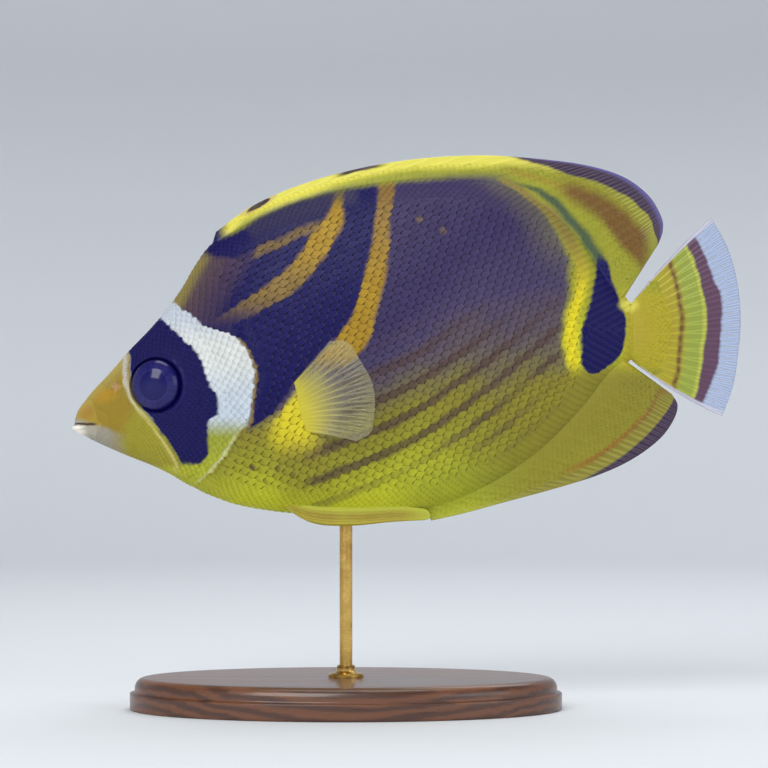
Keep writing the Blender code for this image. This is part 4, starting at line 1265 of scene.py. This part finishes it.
TAIL_LINE = [(245, 664), (262, 670), (280, 675), (299, 679), (322, 682), (346, 680), (370, 678), (385, 674)]
TAIL_INNER = [(232, 678), (240, 684), (264, 696), (290, 703), (316, 707), (340, 705), (380, 700), (400, 694)]
TAIL_OUTER = [(228, 689), (240, 697), (276, 712), (310, 722), (330, 721), (360, 718), (398, 704), (408, 700)]

# ovals: middle and half-widths in u and v
NAPE_BLOTCH = (228, 243), (24.0, 15.0)
# On the next line, the first oval is a painted highlight at the end of the tail's stem.
STEM_HIGHLIGHT, TAIL_WARMTH = ((628, 305), (9.0, 6.5)), ((650, 326), (26.0, 34.0))
SNOUT_GLOW, SNOUT_BLUSH = ((105, 395), (13.0, 8.0)), ((86, 411), (8.0, 7.0))
JAW_BLUSH = (117, 386), (5.0, 4.0)
# The slot by the first dorsal spine is painted shade; its middle, half-widths and slant.
SHADED_SLOT, SHADED_SLOT_SIZE, SHADED_SLOT_AIM = (259, 205), (13.0, 2.6), (0.86, 0.51)   # and its slant

NAPE_EDGE, NAPE_AIM = (177.0, 302.0), (0.874, 0.487)    # a place on the nape, and the way inwards
# The line between the lips is painted shade in the crease of the mouth; this is its height v.
MOUTH_SHADE_V = 422.6                                         # v of the line between the lips

# %% Where markings fade
# Each pair holds the places at which a colour has no share and its whole share. A place is u or v,
# or a sum of both where the fade runs aslant. The stripes' top and foot are distances from
# LOW_LINE, and the nape's end, purple and brown are distances inwards from NAPE_EDGE.

# flank: its fade, its stripes and the deeper belly
FADE_FRONT, STRIPES_TOP, STRIPES_FOOT = (380, 500), (-70, -12), (100, 50)
STRIPES_FRONT, STRIPES_REAR, BELLY_FRONT = (296, 318), (582, 550), (375, 430)
BELLY_TOP = 450, 482
# shoulder: nape, fork, black bar, yellow bar and wedge
SHOULDER_REAR, SHOULDER_FOOT, SLATE_TO_INK = (352, 340), (345, 318), (296, 336)
NAPE_TOP, NAPE_END, NAPE_PURPLE, NAPE_BROWN = (246, 262), (54, 34), (14, 34), (0, 14)
FORK_ORANGE, FORK_DULL, FORK_FOOT, BRANCH_FRONT = (194, 212), (248, 290), (332, 292), (248, 260)
BRANCH_REAR, BAR_FOOT, PALE_BAR_FOOT = (324, 318), (431, 425), (212, 196)
PALE_BAR_REAR, YELLOW_FOOT, YELLOW_FADE = (364, 350), (378, 352), (180, 300)
WEDGE_FRONT, WEDGE_REAR, WEDGE_FOOT = (262, 285), (330, 304), (462, 430)
# back edge of the dark flank
BAND_FOOT, BAND_FADE, GREEN_TOP, GREEN_FOOT = (384, 360), (232, 312), (176, 190), (276, 262)
HAZE_FOOT, REAR_FOOT, REAR_FADE, UPPER_FIN_FOOT = (290, 235), (384, 362), (300, 350), (306, 292)
PATCH_FRONT, PATCH_REAR = (530, 570), (654, 640)
# ridge of the dorsal fin
RIDGE_FRONT, RIDGE_REAR, DARK_FOOT_FRONT = (216, 232), (575, 545), (390, 450)
DARK_FOOT_REAR, NOTCH_FRONT, NOTCH_REAR = (520, 496), (330, 346), (392, 372)
# soft fins and the tail's stem
ANAL_LINE_FRONT, ANAL_LINE_TOP, DORSAL_EDGE_FRONT = (548, 590), (384, 394), (488, 512)
DORSAL_EDGE_FOOT, ANAL_FADE, ANAL_FRONT = (262, 250), (476, 494), (470, 550)
ANAL_EDGE_FRONT, ANAL_EDGE_TOP, STEM_FRONT = (548, 572), (372, 392), (612, 628)
STEM_TOP, STEM_FOOT = (284, 298), (376, 362)
# snout, jaw and lips, and the painted shade between the lips
CHEEK_FADE, TIP_FADE, JAW_FADE, JAW_REAR = (352, 372), (498, 472), (393, 400), (132, 106)
LIP_REAR, LIP_TOP, MOUTH_SHADE_REAR = (91, 77), (421, 428), (100, 93)
# white band, its edges, the painted shadow behind the gill cover, and the mask with its line
WHITE_FADE, BLUE_FADE, THROAT_FADE = (312, 350), (350, 410), (414, 438)
THROAT_YELLOW, WHITE_TOP, RIM_TOP, RIM_FOOT = (430, 480), (294, 302), (330, 346), (440, 424)
LINE_TOP, LINE_FOOT, LINE_FADE, FOLD_TOP = (340, 358), (476, 466), (366, 430), (424, 446)
# The next line also holds the top and foot of the painted shadow behind the gill cover.
FOLD_FOOT, GILL_SHADOW_TOP, GILL_SHADOW_FOOT, SNOUT_TOP = (486, 474), (424, 440), (482, 466), (318, 336)
CHIN_TOP, CHIN_REAR, MASK_TOP, MASK_FOOT = (462, 470), (196, 176), (312, 322), (467, 461)
# dorsal fin's front band and the tail's spot
BORDER_FRONT, BORDER_REAR, SPOT_TOP, SPOT_FOOT = (496, 520), (590, 560), (250, 264), (378, 374)
# webs of the dorsal and anal fins
WEB_FRONT, WEB_EDGE_FRONT, WEB_EDGE_FOOT = (470, 560), (500, 560), (330, 300)

# %% Painting on the drawing
BY_SCALE = 0.34                 # how far a scale's colour leans to the place of its own middle


def on_drawing(x, z):
    """A place in metres as u and v of the side drawing."""
    return (x * (PER_MM / MM) + (BACK_OF_LIP * PER_MM + LIP_U),
            z * (-PER_MM / MM) + (LINE_V + LOWEST_FIN * PER_MM))


def drawn_place(finish, by_scale=False):
    """u and v on the side drawing, stirred a little. On a scale they lean towards the place of its
    own middle, so that a marking's edge follows the scales."""
    where, x, _, z = finish.place()
    u, v = on_drawing(x, z)
    if by_scale:
        _, x, _, z = finish.kept("root")
        u, v = (here * (1 - BY_SCALE) + own * BY_SCALE for here, own in zip((u, v), on_drawing(x, z)))
    drift = finish.noise(where, 260.0, 3.0) - 0.5
    return where, u + drift * 5.0, v + drift * -4.0


def oval(u, v, middle, radii):
    """((u - a) / r)^2 + ((v - b) / s)^2, which is 1 on the oval's rim."""
    return ((u - middle[0]) / radii[0]).power(2.0) + ((v - middle[1]) / radii[1]).power(2.0)


# %% Flank
FLANK_FADE = [(0.0, PURPLE), (0.16, PURPLE), (0.28, tint(74, 64, 100)), (0.38, PURPLE_BROWN), (0.49, OLIVE),
              (0.60, tint(158, 156, 44)), (0.72, BELLY_YELLOW), (0.95, BREAST)]


def flank_colour(f, where, u, v):
    """Purple above fading to yellow below, and dark lines that climb to the tail."""
    below = v - u.curve(LOW_LINE)
    mottle = f.noise(where, 120.0, 4.0, 0.6) - 0.5
    fade = (below * (1.0 - u.rise(*FADE_FRONT) * 0.47) + mottle * 26.0) / 280.0 + 0.42
    ramp = f.node("ShaderNodeValToRGB", {"stops": FLANK_FADE}, {"Fac": fade})
    count = v + u.curve(RUN)
    a, b, c = (float(x) for x in STRIPE_COUNT)
    wave = ((count * a + b) * count + c) * (2 * pi) + pi / 2
    line = (wave + mottle * 1.2).wave().rise(0.15, 0.85)
    line = line * below.rise(*STRIPES_TOP) * below.rise(*STRIPES_FOOT)
    line = line * u.rise(*STRIPES_FRONT) * u.rise(*STRIPES_REAR)
    deep = u.rise(*BELLY_FRONT) * v.rise(*BELLY_TOP) * 0.45
    return f.paint(ramp, (deep, tint(138, 144, 48)), (line * 0.78, STRIPE)), mottle


# %% Shoulder and bars
def shoulder_marks(f, u, v, colour):
    """The dark shoulder with its yellow fork, the black bar and the yellow one behind it."""
    inward = (u - NAPE_EDGE[0]) * NAPE_AIM[0] + (v - NAPE_EDGE[1]) * NAPE_AIM[1]
    brown = f.blend(inward.rise(*NAPE_PURPLE), tint(90, 71, 78), tint(70, 53, 82))
    colour = f.paint(
        colour,
        (u.rise(*SHOULDER_REAR) * v.rise(*SHOULDER_FOOT),
         f.blend((v + u * 0.30).rise(*SLATE_TO_INK), SLATE, INK)),
        (inward.rise(*NAPE_END) * v.rise(*NAPE_TOP) * v.rise(*SHOULDER_FOOT) * 0.9,
         f.blend(inward.rise(*NAPE_BROWN), tint(150, 136, 68), brown)),
        (oval(u, v, *NAPE_BLOTCH).rise(1.5, 0.7), INK))
    stem = (u - v.curve(FORK_STEM)).size() - v.curve(FORK_WIDTH)
    stem_colour = f.paint(tint(106, 96, 66), (v.rise(*FORK_ORANGE), ORANGE_YELLOW),
                          (v.rise(*FORK_DULL), DULL_YELLOW))
    branch = (v - u.curve(FORK_BRANCH)).near(0.0, 4.5, 3.5) * u.rise(*BRANCH_FRONT) * u.rise(*BRANCH_REAR)
    bar = u.between(v.curve(BAR_LEFT), v.curve(BAR_RIGHT), 2.5, 2.0) * v.rise(*BAR_FOOT)
    yellow = u.between(v.curve(YELLOW_LEFT), v.curve(YELLOW_RIGHT), 2.0, 2.5) * v.rise(*YELLOW_FOOT)
    wedge = (v - u.curve(WEDGE_TOP)).rise(-3, 8) * u.rise(*WEDGE_FRONT)
    wedge = wedge * u.rise(*WEDGE_REAR) * v.rise(*WEDGE_FOOT)
    return f.paint(
        colour,
        (stem.rise(3.5, -3.5) * v.rise(*FORK_FOOT), stem_colour),
        (branch * 0.85, DULL_YELLOW),
        (bar, f.blend(v.rise(*PALE_BAR_FOOT) * u.rise(*PALE_BAR_REAR) * 0.5, INK, tint(84, 80, 92))),
        (yellow, f.blend(v.rise(*YELLOW_FADE), tint(138, 108, 54), ORANGE_YELLOW)),
        (wedge * 0.9, BRIGHT_YELLOW))


# %% Back edge of the dark flank
def rear_marks(f, u, v, colour, front, spot):
    """The haze before the edge, the bands along it, the dorsal fin's patch and the tail's spot."""
    rear = u - v.curve(REAR_OF_DARK)
    band = (u - v.curve(ORANGE_BAND)).near(0.0, 6.5, 4.0) * v.rise(*BAND_FOOT)
    patch = (v - u.curve(DORSAL_PATCH)).size() - u.curve(PATCH_WIDTH)
    green = (u - v.curve(GREEN_LINE)).near(0.0, 6.5, 5.0) * v.rise(*GREEN_TOP) * v.rise(*GREEN_FOOT)
    return f.paint(
        colour,
        (rear.rise(-48, 2) * v.rise(*HAZE_FOOT) * 0.34, tint(146, 142, 72)),
        (rear.past(6) * v.rise(*REAR_FOOT), f.blend(v.rise(*REAR_FADE), FIN_YELLOW, BELLY_YELLOW)),
        (band, f.blend(v.rise(*BAND_FADE), tint(144, 128, 62), BRIGHT_YELLOW)),
        ((u - v.curve(UPPER_FIN)).rise(-14, 6) * v.rise(*UPPER_FIN_FOOT), FIN_YELLOW),
        (front * 0.65, tint(172, 134, 50)),
        (patch.rise(11, -8) * u.rise(*PATCH_FRONT) * u.rise(*PATCH_REAR) * 0.9, ORANGE_BROWN),
        (green * 0.95, GREEN_BAND),
        (spot, INK))


# %% Ridge and fins
def ridge_marks(f, u, v, colour, front):
    """The pale ridge of folded spines with a painted highlight along its top, and painted shade in the
    slot where the first spine lies.
    """
    over, under_top = u.curve(RIDGE_LOW) - v, v - u.curve(TOP_LINE)
    ridge = over.rise(-5, 4) * u.rise(*RIDGE_FRONT) * u.rise(*RIDGE_REAR)
    # painted highlight along the top of the ridge
    light = under_top.rise(15, 5)
    foot = over.rise(8, 1) * u.rise(*DARK_FOOT_FRONT) * u.rise(*DARK_FOOT_REAR)
    from_u, from_v = u - SHADED_SLOT[0], v - SHADED_SLOT[1]
    slot = oval(from_u * SHADED_SLOT_AIM[0] - from_v * SHADED_SLOT_AIM[1], from_u * SHADED_SLOT_AIM[1] + from_v * SHADED_SLOT_AIM[0],
                (0, 0), SHADED_SLOT_SIZE)
    return f.paint(
        colour,
        (ridge, f.paint(RIDGE_YELLOW, (light, PAINTED_RIDGE_HIGHLIGHT), (foot * 0.5, tint(100, 98, 72)))),
        (front * ridge * light.rise(0.9, 0.2) * 0.6, tint(172, 134, 50)),
        # a tan rim round the slot, and painted shade in the slot itself
        (slot.rise(3.2, 2.0) * 0.7, tint(206, 180, 104)),
        (slot.rise(1.3, 0.7), tint(52, 34, 40)),
        (under_top.rise(3.4, 1.2) * u.rise(*NOTCH_FRONT) * u.rise(*NOTCH_REAR), tint(60, 44, 52)))


def fin_marks(f, u, v, colour, spot):
    """The dark edges of the soft fins, the anal fin's yellow and its line, and the tail's stem."""
    free = 1.0 - spot
    anal_line = (v - u.curve(ANAL_LINE)).near(0.0, 3.0, 3.0)
    anal_line = anal_line * u.rise(*ANAL_LINE_FRONT) * v.rise(*ANAL_LINE_TOP)
    return f.paint(
        colour,
        ((u.curve(DORSAL_EDGE) - v).past(1.8) * u.rise(*DORSAL_EDGE_FRONT) * v.rise(*DORSAL_EDGE_FOOT),
         EDGE_PURPLE),
        ((v + u * 0.20).rise(*ANAL_FADE) * u.rise(*ANAL_FRONT) * free * 0.8, ANAL_YELLOW),
        (anal_line * 0.8, tint(150, 100, 36)),
        ((v - u.curve(ANAL_EDGE)).past(1.8) * u.rise(*ANAL_EDGE_FRONT) * v.rise(*ANAL_EDGE_TOP), EDGE_PURPLE),
        (u.rise(*STEM_FRONT) * v.rise(*STEM_TOP) * v.rise(*STEM_FOOT) * free, TAIL_YELLOW))


def painted_stem_highlight(f, u, v, colour):
    """A painted highlight at the end of the tail's stem, which runs over on to the fin."""
    return f.blend(oval(u, v, *STEM_HIGHLIGHT).rise(2.2, -0.4) * 0.8, colour, tint(240, 234, 104))


# %% Head
def snout_colour(f, u, v):
    """Ochre and orange above the mouth, a pale jaw below it, and painted shade along the line between the
    lips.
    """
    return f.paint(
        OCHRE,
        ((u + v * 0.55).rise(*CHEEK_FADE), JAW_YELLOW),
        (oval(u, v, *SNOUT_GLOW).rise(2.0, -0.4) * 0.80, SNOUT_ORANGE),
        (oval(u, v, *SNOUT_BLUSH).rise(2.4, -0.4) * 0.62, SNOUT_RED),
        ((v + u * 0.95).rise(*TIP_FADE) * 0.80, tint(190, 176, 104)),
        ((v - u * 0.30).rise(*JAW_FADE) * u.rise(*JAW_REAR), JAW),
        (oval(u, v, *JAW_BLUSH).rise(2.2, -0.2) * 0.5, tint(196, 150, 122)),
        (u.rise(*LIP_REAR) * v.rise(*LIP_TOP), tint(250, 244, 230)),
        # painted shade in the crease between the lips
        ((v - u * 0.02).near(MOUTH_SHADE_V, 1.0, 1.2) * u.rise(*MOUTH_SHADE_REAR), tint(70, 44, 34)))


def head_marks(f, u, v, colour):
    """The white band with its thin edges, the snout, and the black mask with the pale line before it;
    a painted shadow lies behind the gill cover's lower edge.
    """
    rear, front, white_rear = v.curve(MASK_REAR), v.curve(MASK_FRONT), v.curve(WHITE_REAR)
    white = f.paint(tint(200, 209, 220),
                    (v.rise(*WHITE_FADE), f.blend(v.rise(*BLUE_FADE), WHITE, BLUE_WHITE)),
                    (v.rise(*THROAT_FADE),
                     f.blend(v.rise(*THROAT_YELLOW), tint(160, 166, 56), tint(186, 190, 50))))
    rim = (u - white_rear).near(1.5, 1.4, 1.4) * v.rise(*RIM_TOP) * v.rise(*RIM_FOOT)
    line = (front - u).near(5.0, 2.0, 2.0) * v.rise(*LINE_TOP) * v.rise(*LINE_FOOT)
    fold = (u - white_rear).near(-2.5, 1.5, 1.6) * v.rise(*FOLD_TOP) * v.rise(*FOLD_FOOT)
    # painted shadow behind the gill cover's lower edge
    shade = (u - white_rear).near(2.0, 1.2, 1.8) * v.rise(*GILL_SHADOW_TOP) * v.rise(*GILL_SHADOW_FOOT)
    return f.paint(
        colour,
        ((white_rear - u).past(2.2) * v.rise(*WHITE_TOP), white),
        (rim * 0.8, tint(150, 124, 50)),
        ((front - u).past(1.5) * v.rise(*SNOUT_TOP), snout_colour(f, u, v)),
        (v.rise(*CHIN_TOP) * u.rise(*CHIN_REAR), tint(190, 190, 52)),
        (line * 0.85, f.blend(v.rise(*LINE_FADE), tint(208, 206, 204), tint(206, 196, 112))),
        (u.between(front, rear, 1.8, 1.8) * v.rise(*MASK_TOP) * v.rise(*MASK_FOOT), INK),
        (fold * 0.75, tint(214, 216, 168)),
        # painted shadow behind the gill cover's edge
        (shade * 0.45, tint(104, 92, 40)))


# %% All markings
def markings(f, where, u, v):
    """The colour of the skin at u, v: each marking is painted over the ones before it."""
    front = (v - u.curve(DORSAL_PATCH)).near(0.0, 2.5, 4.5) * u.rise(*BORDER_FRONT) * u.rise(*BORDER_REAR)
    spot = u.between(v.curve(SPOT_LEFT), v.curve(SPOT_RIGHT), 2, 2) * v.rise(*SPOT_TOP) * v.rise(*SPOT_FOOT)
    colour, mottle = flank_colour(f, where, u, v)
    colour = shoulder_marks(f, u, v, colour)
    colour = rear_marks(f, u, v, colour, front, spot)
    colour = ridge_marks(f, u, v, colour, front)
    # the tail's stem gets a painted highlight at its end
    colour = painted_stem_highlight(f, u, v, fin_marks(f, u, v, colour, spot))
    for du, dv, radius, share in DOTS:
        dot = oval(u, v, (du, dv), (1.0, 1.0)).power(0.5).rise(radius + 1.6, radius - 1.2)
        colour = f.blend(dot * share, colour, STRIPE if dv > 300 else DULL_YELLOW)
    return head_marks(f, u, v, colour), mottle


# %% [markdown]
# ## Skin and coat
# Live scales are wet glass over pigment: each one is a little paler at its free edge, has fine
# rings, and shines softly. The skin below carries the same markings, for wherever it shows.
# Each scale is darkened at its root by painted shade, where the scale before lies over it.


# %% Skin finishes
MATT = dict(Coat_Weight=0.05, Coat_Roughness=0.25, Roughness=0.48, Specular_IOR_Level=0.17)


def pearl(f, colour, mottle, share, pale):
    """Fine mottling, and a paler colour by its share."""
    return f.blend(share, f.shade((mottle + 0.5) * 0.22, colour, tint(196, 190, 196)), pale)


def skin_finish():
    f = Finish("skin", **MATT)
    where, u, v = drawn_place(f)
    colour, mottle = markings(f, where, u, v)
    grain = f.noise(where, 2600.0)
    return f.feed(Base_Color=pearl(f, colour, mottle, grain * 0.012, WHITE),
                  Normal=f.bump(grain, 0.00005, 0.5))


def coat_finish():
    """The markings on a scale that has its own chance: painted shade at the root, where the scale before
    lies over it, paler at the free edge, with rings about the root and rays out of it."""
    f = Finish("scales", **MATT)
    where, u, v = drawn_place(f, by_scale=True)
    colour, mottle = markings(f, where, u, v)
    _, a, b, chance = f.kept("plate")
    free = (a * a + b * b * 0.28).rise(0.72, 1.18)
    rings = ((a * a + b * b * 0.45).power(0.5) * 62.0).wave()
    rays = (b / (a + 0.25) * 26.0).wave() * a.rise(0.4, 0.8)
    # painted shade at the scale's root, where the scale before lies over it; chance adds each scale's own
    # tone
    shade = f.shade(a.rise(0.62, 0.30) * 0.26 + (chance - 0.3) * 0.14, colour, tint(150, 142, 158))
    return f.feed(Base_Color=pearl(f, shade, mottle, free * 0.07, tint(214, 206, 170)),
                  Roughness=chance * 0.12 + 0.42, Normal=f.bump(rings * 0.5 + rays * 0.35, 0.00003, 0.40))


skin_material, coat_material = skin_finish(), coat_finish()
print("skin nodes", len(skin_material.node_tree.nodes), "coat nodes", len(coat_material.node_tree.nodes))

# %% [markdown]
# ## Fin finishes
# The webs carry the body's markings on to the fins. Rays show a little paler and the web between
# them a little deeper. The tail's margin and the pectoral fans have no colour and let light
# through, so their finish is partly see-through between the rays.


# %% Dorsal and anal finish
def ray_joints(share, ray, count):
    """The joints of the rays: sin(count times share), on the rays alone."""
    return (share * count).wave() * ray


def web_finish():
    f = Finish("fin_web", Coat_Weight=0.12, Coat_Roughness=0.2, Roughness=0.42, Specular_IOR_Level=0.35)
    where, u, v = drawn_place(f)
    colour, mottle = markings(f, where, u, v)
    _, _, share, ray = f.kept("fin")
    web = (1.0 - ray) * share.rise(0.1, 0.5) * (u.rise(*WEB_FRONT) * 0.26 + 0.10)
    edge = share.rise(0.91, 0.99) * u.rise(*WEB_EDGE_FRONT) * v.rise(*WEB_EDGE_FOOT) * 0.60
    colour = f.blend(edge, f.shade(web, colour, tint(140, 120, 120)), tint(110, 102, 182))
    colour = pearl(f, colour, mottle, ray * share.rise(0.3, 0.8) * 0.07, tint(226, 214, 150))
    joints = ray_joints(share, ray, 190.0) * share.rise(0.3, 0.5)
    return f.feed(Base_Color=colour, Normal=f.bump(joints, 0.00004, 0.5))


# %% Tail finish
def tail_finish():
    """Yellow, then a dotted line, a light line, a purple band and the clear rim."""
    f = Finish("tail_web", Coat_Weight=0.15, Coat_Roughness=0.2, Roughness=0.40, Specular_IOR_Level=0.35)
    where, u, v = drawn_place(f)
    _, p, share, ray = f.kept("fin")
    line, inner = u - v.curve(TAIL_LINE), u - v.curve(TAIL_INNER)
    mottle = f.noise(where, 160.0, 3.0) - 0.5
    dots = ((v + mottle * 6.0) * (2 * pi / 10.5)).wave().rise(-0.75, 0.35)
    beyond = (u - v.curve(TAIL_OUTER)).rise(-1.5, 2.0)
    pale = p.rise(0.968, 0.986).most(p.rise(0.032, 0.014)) * share.rise(0.02, 0.16)
    colour = f.paint(
        TAIL_YELLOW,
        (line.rise(-4, 10), tint(158, 172, 66)),
        (oval(u, v, *TAIL_WARMTH).rise(1.2, 0.2) * 0.4, tint(178, 138, 50)),
        (line.near(0.0, 2.2, 2.4) * (0.68 + dots * 0.32), tint(112, 72, 30)),
        (inner.near(-2.5, 1.6, 1.8), tint(190, 196, 80)),
        (inner.past(1.5), tint(98, 66, 92)),
        (beyond, tint(174, 192, 228)),
        (pale, tint(210, 208, 228)))
    web = (1.0 - ray) * share.rise(0.1, 0.4) * 0.30
    # a painted highlight at the stem's end, and the web between the rays a little deeper
    colour = f.shade(web, painted_stem_highlight(f, u, v, colour), tint(150, 136, 130))
    alpha = 1.0 - beyond.most(pale * 0.8) * (0.62 - ray * 0.34)
    return f.feed(Base_Color=colour, Alpha=alpha,
                  Normal=f.bump(ray_joints(share, ray, 170.0) + mottle, 0.00004, 0.5))


# %% Paired fins
def pectoral_finish():
    f = Finish("pectoral_web", Coat_Weight=0.15, Coat_Roughness=0.15, Roughness=0.36)
    _, p, share, ray = f.kept("fin")
    grain = f.noise(f.place()[0], 300.0, 3.0)
    base = share.rise(0.58, -0.02)
    lead = p.rise(0.10, 0.02) * share.rise(0.75, 0.25)
    colour = f.paint(tint(186, 178, 142), (ray, tint(206, 202, 150)),
                     (base.most(lead * 0.6), tint(204, 190, 36)))
    alpha = (ray * 0.23 + 0.08 + grain * 0.08 + base * 0.85).least(1.0)
    return f.feed(Base_Color=colour, Alpha=alpha, Normal=f.bump(ray_joints(share, ray, 150.0), 0.00003, 0.5))


def pelvic_finish():
    f = Finish("pelvic_web", Coat_Weight=0.12, Coat_Roughness=0.2, Roughness=0.42)
    _, p, share, ray = f.kept("fin")
    mottle, edge = f.noise(f.place()[0], 200.0, 3.0), tint(178, 182, 48)
    colour = f.paint(
        tint(164, 154, 30),
        (mottle.rise(0.30, 0.70), tint(154, 136, 24)),
        ((1.0 - ray) * 0.20, tint(130, 92, 34)),
        (p.rise(0.45, 0.10) * 0.6, tint(182, 168, 50)),
        (p.rise(0.50, 0.90) * 0.9, edge),
        (share.rise(0.16, 0.0).most(share.rise(0.80, 1.0)) * 0.9, edge))
    return f.feed(Base_Color=colour, Normal=f.bump(ray_joints(share, ray, 160.0), 0.00004, 0.5))


# %% Eye finish
def eye_finish():
    """Deep blue pupil with a thin bright ring, and a slate iris with fine spokes."""
    f = Finish("eye", Coat_Weight=1.0, Coat_Roughness=0.02, Roughness=0.25,
               Coat_IOR=1.28, Specular_IOR_Level=0.15)
    _, radius, c, s = f.kept("ball")
    spokes = f.noise(f.node("ShaderNodeCombineXYZ", values={0: c, 1: s, 2: radius * 0.12}), 9.0, 4.0, 0.7)
    return f.feed(Base_Color=f.paint(
        tint(20, 16, 86),
        (spokes.rise(0.35, 0.68), tint(36, 35, 102)),
        (radius.rise(0.80, 0.97), tint(12, 8, 76)),
        (radius.rise(0.60, 0.55), tint(12, 10, 84)),
        (radius.near(0.605, 0.010, 0.02) * 0.5, tint(56, 56, 110))))


# %% [markdown]
# ## Stand finishes
# Dark wood has long growth rings that the turned edge cuts into ovals, fine pores along the grain
# and a satin lacquer. The rod is brass with faint marks of the lathe, a little dull from handling.


# %% Wood and brass
def wood_finish():
    """Rings of a log seen from its side: distance from an axis below the base, stirred by noise."""
    f = Finish("stand_wood", Coat_Weight=0.45, Coat_Roughness=0.14, Roughness=0.42)
    where, x, y, z = f.place()
    stir = f.noise(f.stretched(where, 1.0, 9.0, 9.0), 18.0, 4.0, 0.6)
    ring = oval(y, z, (-0.012, -0.030), (1.0, 1.0)).power(0.5)
    grain = ((ring + stir * 0.004 + x * 0.012) * 2600.0).wave()
    pores = f.noise(f.stretched(where, 60.0, 900.0, 900.0), 3.0)
    wear = z.near(0.0078, 0.00035, 0.0006)
    colour = f.paint(
        tint(66, 36, 22),
        (grain.rise(-0.9, 0.9) * 0.75 + stir * 0.25, tint(112, 66, 38)),
        (pores.rise(0.60, 0.75) * 0.6, tint(34, 18, 12)),
        (wear * 0.25, tint(150, 100, 62)))
    return f.feed(Base_Color=colour, Roughness=grain * 0.04 + 0.40,
                  Normal=f.bump(grain * 0.3 - pores, 0.00004, 0.6))


def brass_finish():
    f = Finish("stand_brass", Roughness=0.26, Metallic=1.0)
    where, *_ = f.place()
    marks = f.noise(f.stretched(where, 80.0, 80.0, 6000.0), 1.0, 3.0)
    dull = f.noise(where, 180.0, 4.0, 0.6)
    colour = f.blend(dull.rise(0.35, 0.75), tint(214, 176, 98), tint(170, 130, 66))
    return f.feed(Base_Color=colour, Roughness=marks * 0.14 + dull * 0.14 + 0.14,
                  Normal=f.bump(marks, 0.00002, 0.4))


def backdrop_finish():
    f = Finish("backdrop", Roughness=0.9)
    return f.feed(Base_Color=f.blend(f.noise(f.place()[0], 3.0), tint(226, 230, 235), tint(230, 234, 239)))


# %% Dress the pieces
def dress(pieces, material, slot=None):
    for piece in pieces:
        piece.data.materials.clear()
        piece.data.materials.append(material)
        if slot:
            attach(piece, "root")


dress([skin, *lips], skin_material, "head_skin")
dress([*edge_scales, *flank_scales], coat_material, "body_skin")
dress(face_scales, coat_material, "head_skin")
dress([dorsal, anal], web_finish(), "yellow_fin")
dress([*dorsal_scales, *anal_scales, *tail_scales], coat_material, "yellow_fin")
dress([tail], tail_finish(), "yellow_fin")
dress(pectorals, pectoral_finish(), "clear_fin")
dress(pelvics, pelvic_finish(), "pelvic_fin")
dress(eyes, eye_finish(), "eye")
dress([base], wood_finish(), "wood")
dress([collar, rod], brass_finish(), "brass")
dress([backdrop], backdrop_finish())

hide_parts("head", "torso", "tail_stem")
for piece, node in ((dorsal, "dorsal_fin"), (anal, "anal_fin"), (tail, "tail_fin"),
                    (pectorals[0], "pectoral_fin_left"), (pectorals[1], "pectoral_fin_right"),
                    (pelvics[0], "pelvic_fin_left"), (pelvics[1], "pelvic_fin_right"),
                    (eyes[0], "eye_left"), (eyes[1], "eye_right"), (base, "stand_base"), (rod, "stand_rod")):
    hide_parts(node)

# %% Size
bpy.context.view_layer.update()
total = sum(triangles(o) for o in bpy.data.objects
            if o.type == "MESH" and not o.hide_render and o is not backdrop)
print("triangles in all", total)
